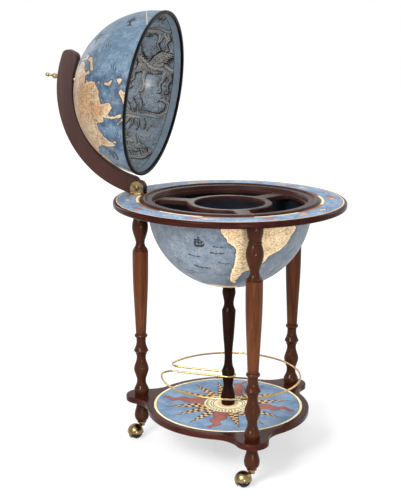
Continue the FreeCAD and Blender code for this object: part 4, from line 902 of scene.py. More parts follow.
def outline_depth(outline, east, north):
    """Degrees to an outline, positive inside it. A point is inside if a line to the east crosses the sides an
    odd number of times, and its distance is the least to any side, with degrees east narrowed by the cosine
    of the latitude."""
    xs, ys = np.array(outline, float).T
    middle = (xs.min() + xs.max()) / 2.0
    px = middle + fold(east - middle)
    narrow = np.cos(np.radians(north))
    inside = np.zeros(len(px), bool)
    gap = np.full(len(px), REACH)
    for x0, y0, x1, y1 in zip(xs, ys, np.roll(xs, -1), np.roll(ys, -1)):
        dx, dy = (x1 - x0) * narrow, y1 - y0
        ux, uy = (px - x0) * narrow, north - y0
        along = np.clip((ux * dx + uy * dy) / (dx * dx + dy * dy + 1e-12), 0.0, 1.0)
        gap = np.minimum(gap, np.hypot(ux - along * dx, uy - along * dy))
        if y0 != y1:
            inside ^= ((y0 > north) != (y1 > north)) & (px < x0 + (north - y0) / (y1 - y0) * (x1 - x0))
    return np.where(inside, gap, -gap)


def land_depth(east, north):
    """Degrees from the nearest coast, positive on land: the largest depth of any outline, less the inland
    sea, or the height of the southern ice line above the point."""
    depth = np.full(len(east), -REACH)
    for outline in [EURASIA, AFRICA, NORTH_AMERICA, SOUTH_AMERICA, AUSTRALIA] + ISLANDS:
        low = min(y for _, y in outline) - REACH
        high = max(y for _, y in outline) + REACH
        near = (north > low) & (north < high)
        depth[near] = np.maximum(depth[near], outline_depth(outline, east[near], north[near]))
    depth = np.minimum(depth, -outline_depth(CASPIAN, east, north))
    ice = np.interp(east, *np.array(SOUTH_POLAR, float).T) - north
    return np.clip(np.maximum(depth, ice), -REACH, REACH)


# Drawings, as chains of (across, up, half width) points in a frame from -1 to 1

def flipped(chains):
    """A drawing turned upside down: each height with its sign changed."""
    return [[(a, -b, r) for a, b, r in chain] for chain in chains]


def between(first, last, share):
    """The value a share of the way from the first to the last."""
    return first + (last - first) * share


def plumes(roots, tips, wide, count):
    """Feathers: chains from points along one line to points along another, narrower towards the tip."""
    shares = np.linspace(0.0, 1.0, count)[:, None]
    starts = between(*np.array(roots), shares)
    ends = between(*np.array(tips), shares)
    return [[(*a, wide), (*(0.4 * a + 0.6 * b), wide * 0.9), (*b, wide * 0.3)] for a, b in zip(starts, ends)]


SHIP = [
    [(-0.9, -0.42, 0.12), (-0.5, -0.66, 0.17), (0.5, -0.66, 0.17), (0.95, -0.36, 0.1)],
    [(-0.92, -0.42, 0.1), (-0.98, -0.1, 0.09)], [(0.0, -0.6, 0.055), (0.0, 1.1, 0.045)],
    [(-0.55, -0.5, 0.055), (-0.55, 0.82, 0.045)], [(0.55, -0.5, 0.055), (0.58, 0.84, 0.045)],
    [(0.9, -0.34, 0.05), (1.24, 0.0, 0.035)], [(-0.26, -0.14, 0.12), (0.0, 0.02, 0.2), (0.28, -0.12, 0.12)],
    [(-0.2, 0.44, 0.11), (0.0, 0.56, 0.17), (0.2, 0.46, 0.11)],
    [(-0.76, 0.04, 0.1), (-0.56, 0.16, 0.17), (-0.36, 0.06, 0.1)],
    [(0.42, 0.08, 0.1), (0.6, 0.22, 0.17), (0.82, 0.1, 0.1)],
    [(0.0, 1.08, 0.04), (0.3, 1.16, 0.07), (0.5, 1.08, 0.02)],
    [(0.58, 0.82, 0.04), (0.84, 0.88, 0.06), (0.98, 0.82, 0.02)],
]
BARQUE = [
    [(-0.72, -0.5, 0.12), (-0.5, -0.72, 0.2), (0.52, -0.72, 0.2), (0.86, -0.52, 0.13)],
    [(-0.7, -0.5, 0.13), (-0.74, -0.3, 0.1)], [(0.82, -0.44, 0.08), (1.0, -0.16, 0.07)],
    [(0.06, -0.5, 0.08), (0.06, 1.06, 0.07)], [(-0.5, -0.5, 0.08), (-0.46, 0.5, 0.07)],
    [(0.56, -0.5, 0.08), (0.6, 0.34, 0.07)], [(-0.2, -0.14, 0.15), (0.3, -0.14, 0.15)],
    [(-0.12, 0.3, 0.15), (0.26, 0.32, 0.15)], [(0.0, 0.68, 0.12), (0.2, 0.7, 0.12)],
    [(-0.72, -0.06, 0.13), (-0.44, -0.06, 0.13)], [(-0.64, 0.3, 0.13), (-0.4, 0.34, 0.13)],
    [(0.5, -0.1, 0.12), (0.76, 0.06, 0.12)],
]
TICKS = [
    [(-1.0, 0.1, 0.12), (-0.6, 0.02, 0.12)], [(-0.32, -0.04, 0.1), (0.1, -0.06, 0.1)],
    [(0.42, 0.0, 0.12), (0.66, -0.02, 0.12)], [(0.9, 0.02, 0.09), (1.0, 0.0, 0.09)],
]
FISH = [
    [(-0.8, -0.06, 0.04), (-0.5, 0.02, 0.13), (-0.1, 0.1, 0.23), (0.35, 0.06, 0.22), (0.68, -0.04, 0.14),
     (0.9, -0.12, 0.06)],
    *plumes(((-0.78, 0.0), (-0.82, -0.12)), ((-1.12, 0.4), (-1.16, -0.42)), 0.07, 5),
    *plumes(((-0.25, 0.26), (0.25, 0.24)), ((-0.45, 0.56), (-0.02, 0.6)), 0.06, 4),
    *plumes(((0.1, -0.1), (0.34, -0.12)), ((-0.2, -0.46), (0.08, -0.5)), 0.06, 3),
]
BODY = [
    [(-0.78, 0.12, 0.17), (-0.45, 0.17, 0.22), (-0.05, 0.1, 0.23), (0.35, 0.16, 0.26), (0.52, 0.26, 0.2)],
    [(-0.72, 0.05, 0.17), (-0.84, -0.3, 0.1), (-0.7, -0.56, 0.06), (-0.78, -0.86, 0.05),
     (-0.68, -0.9, 0.06)],
    [(-0.58, 0.0, 0.15), (-0.5, -0.32, 0.09), (-0.36, -0.56, 0.055), (-0.44, -0.86, 0.05),
     (-0.34, -0.9, 0.06)],
    [(0.5, 0.1, 0.14), (0.84, -0.08, 0.08), (0.82, -0.38, 0.05), (0.96, -0.46, 0.06)],
    [(0.34, 0.02, 0.14), (0.4, -0.32, 0.08), (0.34, -0.6, 0.05), (0.38, -0.88, 0.05), (0.48, -0.92, 0.06)],
    [(-0.9, 0.22, 0.06), (-1.12, 0.42, 0.04), (-1.26, 0.18, 0.035), (-1.18, -0.1, 0.07),
     (-1.24, -0.3, 0.02)],
]
BULL = BODY + [
    [(0.46, 0.32, 0.2), (0.74, 0.48, 0.16), (0.92, 0.44, 0.12), (1.12, 0.28, 0.08)],
    [(0.82, 0.58, 0.05), (0.78, 0.8, 0.035), (0.94, 0.96, 0.012)],
    [(0.92, 0.56, 0.05), (1.06, 0.72, 0.035), (1.24, 0.74, 0.012)],
    [(0.74, 0.6, 0.05), (0.6, 0.74, 0.02)],
]
LION = BODY + [
    [(0.5, 0.36, 0.2), (0.78, 0.52, 0.17), (0.98, 0.46, 0.1)],
    *[[(0.72 + 0.14 * math.cos(a), 0.5 + 0.14 * math.sin(a), 0.09),
       (0.66 + 0.4 * math.cos(a), 0.44 + 0.4 * math.sin(a), 0.03)]
      for a in np.radians(np.arange(60, 330, 27))],
]
WINGED = BODY + [
    [(0.48, 0.34, 0.19), (0.7, 0.62, 0.13), (0.86, 0.78, 0.1), (1.08, 0.62, 0.07)],
    [(0.82, 0.86, 0.04), (0.8, 1.02, 0.015)],
    [(0.18, 0.3, 0.1), (-0.02, 0.66, 0.1), (-0.3, 0.94, 0.06)],
    *plumes(((0.14, 0.36), (-0.3, 0.94)), ((-0.62, 0.3), (-0.98, 0.86)), 0.06, 7),
    *plumes(((0.5, 0.5), (0.78, 0.9)), ((0.3, 0.56), (0.56, 0.96)), 0.05, 5),
]
EAGLE = [
    [(-0.04, -0.4, 0.1), (0.0, -0.1, 0.18), (0.02, 0.2, 0.16), (0.06, 0.42, 0.11)],
    [(0.06, 0.44, 0.1), (0.18, 0.58, 0.09)],
    [(0.24, 0.58, 0.05), (0.38, 0.5, 0.01)],
    *plumes(((-0.06, -0.42), (0.06, -0.42)), ((-0.34, -0.98), (0.34, -0.98)), 0.07, 5),
    [(-0.1, -0.36, 0.05), (-0.26, -0.62, 0.03)], [(0.1, -0.36, 0.05), (0.26, -0.62, 0.03)],
]
for wing in (-1.0, 1.0):
    EAGLE += [[(0.12 * wing, 0.2, 0.11), (0.5 * wing, 0.56, 0.11), (0.98 * wing, 0.66, 0.06)]]
    EAGLE += plumes(((0.16 * wing, 0.2), (0.98 * wing, 0.66)),
                    ((0.3 * wing, -0.36), (1.3 * wing, 0.1)), 0.065, 9)
CLAW = [
    [(0.56, 0.08, 0.08), (0.84, 0.4, 0.07), (1.04, 0.4, 0.11), (1.26, 0.2, 0.04)],
    [(1.04, 0.46, 0.06), (1.3, 0.42, 0.02)],
    [(0.4, 0.1, 0.045), (0.5, 0.42, 0.035), (0.66, 0.62, 0.015)],
    [(0.2, 0.12, 0.045), (0.22, 0.48, 0.035), (0.34, 0.7, 0.015)],
    [(0.0, 0.1, 0.045), (-0.06, 0.44, 0.035), (0.02, 0.68, 0.015)],
]
SCORPION = CLAW + flipped(CLAW) + [
    [(0.62, 0.0, 0.17), (0.28, 0.02, 0.21), (-0.05, 0.0, 0.18), (-0.32, -0.04, 0.12)],
    [(-0.32, -0.04, 0.11), (-0.66, -0.12, 0.1), (-0.98, 0.04, 0.09), (-1.08, 0.36, 0.08),
     (-0.86, 0.58, 0.07), (-0.68, 0.5, 0.02)],
]
SERPENT = [
    [(-1.3, 0.16, 0.02), (-1.04, 0.4, 0.07), (-0.74, 0.3, 0.1), (-0.56, -0.06, 0.12), (-0.28, -0.36, 0.13),
     (0.06, -0.28, 0.14), (0.2, 0.06, 0.14), (0.42, 0.4, 0.13), (0.76, 0.44, 0.11), (0.94, 0.2, 0.1),
     (1.16, 0.16, 0.13), (1.34, 0.1, 0.06)],
    [(1.1, 0.26, 0.05), (1.0, 0.44, 0.015)], [(0.1, 0.1, 0.08), (-0.14, 0.5, 0.08), (-0.5, 0.76, 0.04)],
    *plumes(((0.06, 0.16), (-0.5, 0.76)), ((-0.34, 0.06), (-0.92, 0.56)), 0.05, 6),
]
VASE = [
    [(0.0, -0.8, 0.22), (0.0, -0.55, 0.12), (0.0, -0.25, 0.28), (0.0, 0.1, 0.3), (0.0, 0.42, 0.13),
     (0.0, 0.74, 0.19)],
]
for handle in (-1.0, 1.0):
    VASE += [[(0.12 * handle, 0.58, 0.045), (0.5 * handle, 0.4, 0.045), (0.32 * handle, 0.02, 0.045)]]
HARP = [
    [(-0.5, -0.75, 0.1), (-0.42, 0.0, 0.08), (-0.35, 0.7, 0.09)],
    [(-0.35, 0.7, 0.08), (0.1, 0.52, 0.07), (0.55, 0.8, 0.09)],
    [(-0.5, -0.75, 0.09), (0.15, -0.1, 0.08), (0.55, 0.8, 0.09)], [(-0.2, -0.4, 0.02), (-0.12, 0.6, 0.02)],
    [(0.0, -0.2, 0.02), (0.08, 0.55, 0.02)], [(0.2, 0.1, 0.02), (0.26, 0.6, 0.02)],
]
WIND_ROSE = [
    [(0.0, 0.0, wide), (long * math.cos(a), long * math.sin(a), 0.02)]
    for first, long, wide in ((0, 1.0, 0.16), (45, 0.6, 0.14))
    for a in np.radians(np.arange(first, 360, 90))
]
WAVES = [[(x, y + 0.12 * math.sin(5.5 * x), 0.05) for x in np.linspace(lo, hi, 7)]
         for y, lo, hi in ((0.35, -0.8, 0.3), (0.0, -0.4, 0.9), (-0.35, -0.9, 0.1))]


def heading(north, east):
    """Unit direction of a latitude and longitude in degrees."""
    a, b = np.radians(north), np.radians(east)
    return np.stack([np.cos(a) * np.cos(b), np.cos(a) * np.sin(b), np.sin(a)], -1)


def strokes(globe, drawings, span=1.6, beyond=4.0):
    """Degrees to the nearest stroke, negative in it, with the place across it, from -1 to 1, and along it.
    Each drawing is laid on the plane that touches the globe at its middle, and each link of a chain is a line
    with a half width that changes evenly along it. A drawing counts over a span of its size and some degrees
    beyond."""
    gap = np.full(len(globe), REACH)
    across = np.zeros(len(globe))
    along = np.zeros(len(globe))
    for north, east, turn, size, chains in drawings:
        near = globe @ heading(north, east) > math.cos(math.radians(size * span + beyond))
        right = globe[near] @ heading(0.0, east + 90.0)
        up = globe[near] @ heading(north + 90.0, east)
        c, s = math.cos(math.radians(turn)), math.sin(math.radians(turn))
        u = np.degrees(right * c + up * s) / size
        v = np.degrees(up * c - right * s) / size
        best, side, way = gap[near] / size, across[near], along[near]
        for chain in chains:
            start = 0.0
            for (x0, y0, r0), (x1, y1, r1) in zip(chain, chain[1:]):
                dx, dy = x1 - x0, y1 - y0
                long = math.hypot(dx, dy) + 1e-9
                share = np.clip(((u - x0) * dx + (v - y0) * dy) / long ** 2, 0.0, 1.0)
                wide = r0 + share * (r1 - r0)
                here = np.hypot(u - x0 - share * dx, v - y0 - share * dy) - wide
                closer = here < best
                best = np.where(closer, here, best)
                side = np.where(closer, ((u - x0) * dy - (v - y0) * dx) / long / wide, side)
                way = np.where(closer, (start + share * long) * size, way)
                start += long
        gap[near], across[near], along[near] = best * size, side, way
    return gap, np.clip(across, -3.0, 3.0), along


def map_directions(points, centre, spin):
    """Unit directions of points from a centre, turned so that the map's own zero meridian is on +X."""
    out = points - centre
    out = out / np.linalg.norm(out, axis=1)[:, None]
    c, s = math.cos(math.radians(spin)), math.sin(math.radians(spin))
    return np.stack([out[:, 0] * c + out[:, 1] * s, out[:, 1] * c - out[:, 0] * s, out[:, 2]], -1)


def keep_map(piece, globe, drawings):
    """Stores what the map material reads: the direction, the depth of land and the gap to a drawing."""
    north = np.degrees(np.arcsin(np.clip(globe[:, 2], -1.0, 1.0)))
    east = np.degrees(np.arctan2(globe[:, 1], globe[:, 0]))
    store(piece, "globe", globe)
    store(piece, "land", land_depth(east, north))
    store(piece, "ink", strokes(globe, drawings)[0])


# Stand: turned legs, feet and column

LEG_H = (RING_BOTTOM - SHELF_TOP) / MM
SWELL_FOOT, SWELL_TOP = 162.6, LEG_H - 131.0
SWELL_IN, SWELL_OUT = 13.2, 20.2
LEG_PROFILE = lathe(
    (16.5, 0.0),
    [(19.4, 13.0), (14.5, 25.0), (12.1, 33.0), (13.1, 49.0)],
    [(14.7, 49.0)],
    [(14.7, 52.0)],
    [(19.2, 70.0), (14.9, 86.0), (12.1, 98.5), (13.1, 110.0)],
    [(14.7, 110.0)],
    [(14.7, 114.0)],
    [(18.6, 117.8)],
    [(18.6, 120.2)],
    [(13.9, 132.0), (12.1, 144.0), (12.7, 155.4)],
    [(15.2, 155.4)],
    [(16.9, 159.0), (15.2, SWELL_FOOT)],
    [(SWELL_IN, SWELL_FOOT)],
    [(between(SWELL_IN, SWELL_OUT, 0.44), between(SWELL_FOOT, SWELL_TOP, 0.3)),
     (between(SWELL_IN, SWELL_OUT, 0.81), between(SWELL_FOOT, SWELL_TOP, 0.55)),
     (SWELL_OUT, between(SWELL_FOOT, SWELL_TOP, 0.8)), (SWELL_OUT, SWELL_TOP)],
    [(17.6, LEG_H - 129.0)],
    [(18.8, LEG_H - 127.5), (17.6, LEG_H - 125.5)],
    [(13.6, LEG_H - 119.7), (11.4, LEG_H - 111.0), (14.8, LEG_H - 95.8), (20.6, LEG_H - 70.0),
     (15.4, LEG_H - 44.2)],
    [(16.2, LEG_H - 43.4)],
    [(16.2, LEG_H - 40.2)],
    [(14.8, LEG_H - 39.4)],
    [(17.8, LEG_H - 25.4), (19.4, LEG_H - 15.0), (18.3, LEG_H)],
)
FOOT_PROFILE = lathe((11.0, 0.0), [(16.3, 6.5), (18.9, 19.0), (16.5, 32.0), (13.4, 45.0), (14.8, 60.0)])
COLUMN_H = (BOWL_CENTRE[2] - GLOBE_R - SHELF_TOP) / MM
NECK_H, SHOULDER_H = 112.0, COLUMN_H - 64.0
COLUMN_PROFILE = lathe(
    (16.5, 0.0),
    [(17.6, 10.5)],
    [(18.0, 21.0), (14.6, 37.0), (12.0, 49.0), (14.0, 65.8), (15.5, 75.5)],
    [(15.5, 80.5)],
    [(16.5, 86.0), (12.4, 100.0), (10.4, NECK_H), (13.0, between(NECK_H, SHOULDER_H, 0.45)),
     (16.2, between(NECK_H, SHOULDER_H, 0.8)), (17.6, SHOULDER_H)],
    [(14.0, COLUMN_H - 56.0), (12.4, COLUMN_H - 48.0), (14.3, COLUMN_H - 32.0), (16.7, COLUMN_H - 19.0),
     (13.7, COLUMN_H + 0.3)],
)


def hollows(profile, reach=0.010, full=0.0016, count=3000):
    """How deep each point of a profile lies inside the profile's own average over a reach of its length, from
    0 on a swell to 1 at the full depth. This depth sets the painted shade in the hollows of a turning."""
    run = np.concatenate([[0.0], np.cumsum(np.linalg.norm(np.diff(profile, axis=0), axis=1))])
    steps = np.linspace(0.0, run[-1], count)
    radius = np.interp(steps, run, profile[:, 0])
    side = int(reach / steps[1])
    weight = np.hanning(2 * side + 1)
    average = np.convolve(np.pad(radius, side, mode="edge"), weight / weight.sum(), "valid")
    return np.interp(run, steps, np.clip((average - radius) / full, 0.0, 1.0))


def turned(node, profile, foot, finish):
    """A turning in place of its solid, which keeps how deep each point lies in a hollow, for the painted
    shade
    there: the depth at the nearest point of the profile by radius and height."""
    piece = surface(node + ".turned", revolved(profile, TURNED_COLUMNS, foot),
                    finish, "stand", (node,), sharp=55.0)
    at = points_of(piece) - foot
    radius_apart = np.hypot(at[:, 0], at[:, 1])[:, None] - profile[:, 0]
    height_apart = at[:, 2][:, None] - profile[:, 1]
    nearest = np.hypot(radius_apart, height_apart).argmin(1)
    store(piece, "hollow_shade", hollows(profile)[nearest])


for leg in LEGS:
    turn = math.radians(LEG_TURN[leg])
    foot_of_leg = np.array([LEG_CIRCLE_R * math.cos(turn), LEG_CIRCLE_R * math.sin(turn), 0.0])
    on_shelf = foot_of_leg + np.array([0.0, 0.0, SHELF_TOP])
    under_shelf = foot_of_leg + np.array([0.0, 0.0, corners("foot_" + leg)[0][2]])
    turned("leg_" + leg, LEG_PROFILE, on_shelf, leg_wood)
    turned("foot_" + leg, FOOT_PROFILE, under_shelf, leg_wood)
turned("centre_column", COLUMN_PROFILE, np.array([0.0, 0.0, SHELF_TOP]), column_wood)


# Shelf disc, ring and band

def flat_ring(inner, outer, bottom, top, edge=PRINT_GAP):
    """Closed profile of a flat ring with its upper corners taken off."""
    return np.array([(inner, bottom), (outer, bottom), (outer, top - edge), (outer - edge, top),
                     (inner + edge, top), (inner, top - edge)])


def ring_profile():
    """Closed profile of the equator ring: rounded nose outside, bore inside and a recess for the band. The
    upper nose is the lower one turned over about the ring's middle."""
    a = np.linspace(-math.pi / 2, 0.0, 9)
    low_nose = np.stack([RING_R - NOSE_R + NOSE_R * np.cos(a), RING_BOTTOM + NOSE_R + NOSE_R * np.sin(a)], -1)
    high_nose = np.stack([low_nose[::-1, 0], RING_TOP + RING_BOTTOM - low_nose[::-1, 1]], -1)
    recess = RING_TOP - PRINT_T
    recess_out, recess_in = BAND_R + PRINT_GAP, BAND_IN_R - PRINT_GAP
    top = np.array([(recess_out, RING_TOP), (recess_out, recess), (recess_in, recess), (recess_in, RING_TOP),
                    (RING_BORE_R, RING_TOP), (RING_BORE_R, RING_BOTTOM)])
    return np.concatenate([low_nose, high_nose, top])


band_profile = flat_ring(BAND_IN_R, BAND_R, RING_TOP - PRINT_T, RING_TOP)
disc_profile = flat_ring(DISC_HOLE_R, DISC_R, SHELF_TOP - PRINT_T, SHELF_TOP)
surface("equator_ring.turned", revolved(ring_profile(), RING_COLUMNS),
        dark_wood, "stand", ("equator_ring",), rows_close=True)
surface("ring_band.print", revolved(band_profile, RING_COLUMNS),
        band_paper, "stand", ("ring_band",), rows_close=True)
surface("compass_disc.print", revolved(disc_profile, DISC_COLUMNS),
        compass_paper, "stand", ("compass_disc",), rows_close=True)


# Gallery rail: a wire bent into most of a circle, turned in to grip the column

def bend(centre, radius, start, end, count):
    """Points of a level arc between two angles in degrees, without its last point."""
    a = np.radians(np.linspace(start, end, count, endpoint=False))
    return np.stack([centre[0] + radius * np.cos(a), centre[1] + radius * np.sin(a)], -1)


def rail_path():
    """Round the column, out along the slot, round a tight bend, round the large circle and back. The tight
    bend's middle lies where it touches the straight from outside and the large circle from inside."""
    rise = RAIL_GRIP_R + RAIL_BEND_R
    x = RAIL_SHIFT - math.sqrt((RAIL_R - RAIL_BEND_R) ** 2 - rise ** 2)
    lean = math.degrees(math.atan2(rise, x - RAIL_SHIFT))
    straight = np.stack([np.linspace(0.0, x, 24, endpoint=False), np.full(24, RAIL_GRIP_R)], -1)
    level = np.concatenate([
        bend((0.0, 0.0), RAIL_GRIP_R, -90.0, 90.0, 24),
        straight,
        bend((x, rise), RAIL_BEND_R, -90.0, lean - 360.0, 32),
        bend((RAIL_SHIFT, 0.0), RAIL_R, lean, -lean, 160),
        bend((x, -rise), RAIL_BEND_R, -lean, -270.0, 32),
        straight[::-1] * np.array([1.0, -1.0]),
    ])
    return np.concatenate([level, np.full((len(level), 1), RAIL_Z)], 1)


surface("gallery_rail.wire", tube(rail_path(), WIRE_R),
        rail_brass, "stand", ("gallery_rail",), sharp=80.0, rows_close=True)


# Globe shells

def bowl_outside():
    """From the bottom of the ball up to its equator, then straight up as a collar into the ring."""
    ball = arc_profile(GLOBE_R, -90.0, 0.0, BOWL_ROWS) + np.array([0.0, BOWL_CENTRE[2]])
    return np.concatenate([ball, [(GLOBE_R, COLLAR_TOP)]])


def bowl_inside():
    """The same a wall's thickness inside, from the collar's top down to the bottom."""
    inner = GLOBE_R - SHELL_WALL
    ball = arc_profile(inner, 0.0, -90.0, INSIDE_ROWS) + np.array([0.0, BOWL_CENTRE[2]])
    return np.concatenate([[(GLOBE_R, COLLAR_TOP), (inner, COLLAR_TOP)], ball])


bowl = surface("bowl_shell.print", revolved(bowl_outside(), GLOBE_COLUMNS),
               bowl_paper, "stand", ("bowl_shell",), sharp=60.0)
keep_map(bowl, map_directions(points_of(bowl), BOWL_CENTRE, BOWL_SPIN), [
    (-14.4, -97.0, 0.0, 4.2, BARQUE), (-26.0, -102.0, -3.0, 4.2, TICKS), (-36.0, -98.0, -4.0, 5.6, TICKS),
    (-17.5, -83.0, 0.0, 3.4, TICKS), (-22.5, -84.0, 0.0, 4.4, TICKS), (-31.0, -79.0, -4.0, 3.8, TICKS),
    (-33.0, -121.0, 0.0, 5.0, WAVES), (-44.0, -112.0, 0.0, 6.0, WAVES), (-40.0, -150.0, 0.0, 8.0, WIND_ROSE),
    (-20.0, -140.0, 0.0, 5.0, WAVES), (-30.0, 80.0, 0.0, 6.2, SHIP), (-20.0, -5.0, 0.0, 5.0, WAVES),
    (-42.0, 20.0, 0.0, 7.0, WIND_ROSE), (-45.0, -30.0, 0.0, 5.0, WAVES), (-36.0, 100.0, 0.0, 5.0, WAVES),
    (-25.0, 175.0, 0.0, 5.0, WAVES), (-48.0, 160.0, 0.0, 5.0, SHIP), (-12.0, -160.0, 0.0, 6.0, FISH),
])
surface("bowl_shell.inside", revolved(bowl_inside(), INSIDE_COLUMNS),
        tray_dark, "stand", sharp=60.0)

lid_profile = arc_profile(GLOBE_R, RIM_LATITUDE, 90.0, LID_ROWS)
lid = surface("lid_shell.print", opened(revolved(lid_profile, GLOBE_COLUMNS, LID_CENTRE)),
              lid_paper, "lid_globe", ("lid_shell",), sharp=60.0)
keep_map(lid, map_directions(shut(points_of(lid)), LID_CENTRE, LID_SPIN), [
    (12.0, 66.0, 10.0, 5.0, SHIP), (24.0, 150.0, 0.0, 5.0, WAVES), (40.0, 165.0, 0.0, 8.0, WIND_ROSE),
    (14.0, 133.0, -6.0, 5.0, WAVES), (20.0, -160.0, 0.0, 6.2, SHIP), (30.0, -145.0, 0.0, 5.0, WAVES),
    (35.0, -40.0, 0.0, 6.2, SHIP), (25.0, -55.0, 0.0, 5.0, WAVES), (12.0, -30.0, 0.0, 7.0, WIND_ROSE),
    (10.0, -115.0, 0.0, 6.0, FISH), (15.0, 175.0, 0.0, 6.0, FISH), (5.0, 88.0, 0.0, 4.5, WAVES),
])

chart_profile = arc_profile(LINER_R, 90.0, RIM_LATITUDE, LID_ROWS)
chart = surface("lid_liner.chart", opened(revolved(chart_profile, GLOBE_COLUMNS, LID_CENTRE)),
                sky_paper, "lid_globe", ("lid_liner",), sharp=60.0)
chart_globe = map_directions(shut(points_of(chart)), LID_CENTRE, 0.0)
FIGURES = [
    (24.0, 8.0, 0.0, 17.0, EAGLE), (25.0, 44.0, -8.0, 18.0, LION), (23.0, 80.0, 6.0, 17.0, WINGED),
    (25.0, 117.0, 0.0, 18.0, SCORPION), (24.0, 153.0, 10.0, 15.0, SHIP), (24.0, 188.0, 0.0, 17.0, FISH),
    (25.0, 224.0, -6.0, 17.0, BULL), (24.0, 260.0, 0.0, 18.0, EAGLE), (24.0, 296.0, 8.0, 17.0, SERPENT),
    (25.0, 332.0, -6.0, 17.0, BULL), (54.0, 22.0, 10.0, 16.0, SERPENT), (55.0, 78.0, -12.0, 17.0, BULL),
    (54.0, 134.0, 8.0, 16.0, FISH), (55.0, 190.0, 0.0, 14.0, HARP), (54.0, 246.0, -8.0, 16.0, LION),
    (55.0, 302.0, 0.0, 14.0, VASE), (54.0, 348.0, 20.0, 12.0, FISH), (80.0, 90.0, 20.0, 17.0, WINGED),
]


def upright(north, east):
    """Turn that stands a drawing upright where the lid is open: up is then a fixed direction of the shut lid,
    and the turn is the arc tangent of its part to the east, taken back, over its part to the north."""
    up = np.array([math.sin(OPEN_ANGLE), 0.0, math.cos(OPEN_ANGLE)])
    return math.degrees(math.atan2(-up @ heading(0.0, east + 90.0), up @ heading(north + 90.0, east)))


standing = [(north, east, upright(north, east) + tilt, size, chains)
            for north, east, tilt, size, chains in FIGURES]
figure_gap, figure_side, figure_along = strokes(chart_globe, standing)
store(chart, "globe", chart_globe)
store(chart, "figure", figure_gap)
store(chart, "side", figure_side)
store(chart, "along", figure_along)


def star_gap(globe, count=90, seed=11, points=6.0, swing=0.35, beyond=4.0):
    """Degrees to the nearest of scattered stars, negative inside one. A star's edge swings in and out with
    the angle about its middle, which gives it points. It counts over some degrees beyond its middle."""
    chance = np.random.default_rng(seed)
    east = chance.uniform(0.0, 360.0, count)
    north = np.degrees(np.arcsin(chance.uniform(0.15, 0.98, count)))
    size = chance.uniform(0.45, 1.15, count)
    gap = np.full(len(globe), REACH)
    for e, n, r in zip(east, north, size):
        near = globe @ heading(n, e) > math.cos(math.radians(beyond))
        u = np.degrees(globe[near] @ heading(0.0, e + 90.0))
        v = np.degrees(globe[near] @ heading(n + 90.0, e))
        edge = r * (1.0 + swing * np.cos(points * np.arctan2(v, u)))
        gap[near] = np.minimum(gap[near], np.hypot(u, v) - edge)
    return gap


store(chart, "star", star_gap(chart_globe))


def trim_profile(soft=0.0008, nip=0.3):
    """Closed profile of the rim's channel about the lid's centre, with its corners cut at a softness and at a
    nip of it."""
    out, inner, high, cut = TRIM_R, TRIM_IN_R, TRIM_H, soft * nip
    groove_out, groove_in = GLOBE_R + PRINT_GAP, LINER_R - PRINT_GAP
    return np.array([
        (inner + soft, 0.0), (out - soft, 0.0), (out - cut, cut), (out, soft), (out, high - soft),
        (out - cut, high - cut), (out - soft, high), (groove_out, high), (groove_out, TRIM_FLOOR),
        (groove_in, TRIM_FLOOR), (LINER_R - 1.5 * PRINT_GAP, high), (inner + soft, high),
        (inner, high - soft), (inner, soft),
    ])


surface("lid_rim_trim.channel", opened(revolved(trim_profile(), RING_COLUMNS, LID_CENTRE)),
        rim_dark, "lid_globe", ("lid_rim_trim",), sharp=50.0, rows_close=True)

FINIAL_PROFILE = lathe(
    (8.0, 0.0),
    [(8.0, 2.0)],
    [(4.6, 3.5)],
    [(7.0, 11.5), (4.6, 17.1)],
    [(2.8, 20.0), (2.8, 25.6)],
    [(4.6, 27.0)],
    [(4.6, 34.0)],
    [(3.0, 36.0)],
)
surface("pole_finial.turned", opened(revolved(FINIAL_PROFILE, FINIAL_COLUMNS, (0.0, 0.0, ARM_POLE_OUT))),
        brass, "lid_arm", ("pole_finial",), sharp=55.0)


# Solids that keep their shape, shaded smooth or given their finish

FINISH_OF = {
    "arm_wood": arm_wood, "dowel_wood": dowel_wood, "tray_brown": tray_brown, "tray_dark": tray_dark,
    "brass": brass, "steel": steel, "wheel_black": wheel_black,
}
SMOOTHED = ["tray_deck", "tray_floor", "tray_screws", "hinge_cheek_front", "hinge_cheek_rear",
            "hinge_pin", "hinge_nut", "hinge_screws", "meridian_arm", "pole_hub", "pole_spacer", "pole_bolt"]
HIDDEN = ["leg_studs", "ring_dowels", "column_bolts", "bowl_screws", "hinge_bush"]
for leg in LEGS:
    SMOOTHED += ["caster_socket_" + leg, "caster_hood_" + leg, "caster_axle_" + leg,
                 "caster_wheel_" + leg + "_a", "caster_wheel_" + leg + "_b"]
    HIDDEN += ["caster_stem_" + leg]
dressed("shelf_board", shelf_wood)
for node in SMOOTHED:
    dressed(node, FINISH_OF[SLOT_OF[node]])
for node in HIDDEN:
    solid = frame["nodes"][node].data
    solid.materials.clear()
    solid.materials.append(FINISH_OF[SLOT_OF[node]].material)


# Floor, light and camera

def studio_floor(glow=1.15):
    """A pale floor that fades into the white of the surroundings away from the object: the share of white
    grows from a half near the stand to the whole."""
    mesh = skin("studio_floor", revolved(np.array([(r, FLOOR_Z) for r in (0.0, 3.0, 9.0)]), FLOOR_COLUMNS))
    pale = Finish("studio_floor", Roughness=0.7, Specular_IOR_Level=0.2)
    cloud = pale.cloud(pale.place(), 3.0, 3.0)
    pale.paint(pale.mix(cloud, (0.9, 0.9, 0.9, 1.0), (0.92, 0.92, 0.92, 1.0)))
    share = (axis_distance(pale, 1.0).rise(0.25, 0.9) * 0.5 + 0.5) * pale.seen()
    white = pale.node("Emission", None, (1.0, 1.0, 1.0, 1.0), glow)
    fade = pale.node("MixShader", None, share, Wire(pale, pale.shader.outputs["BSDF"]), white)
    pale.join(fade, pale.tree.nodes["Material Output"].inputs["Surface"])
    mesh.materials.append(pale.material)
    floor = bpy.data.objects.new("studio_floor", mesh)
    bpy.context.scene.collection.objects.link(floor)


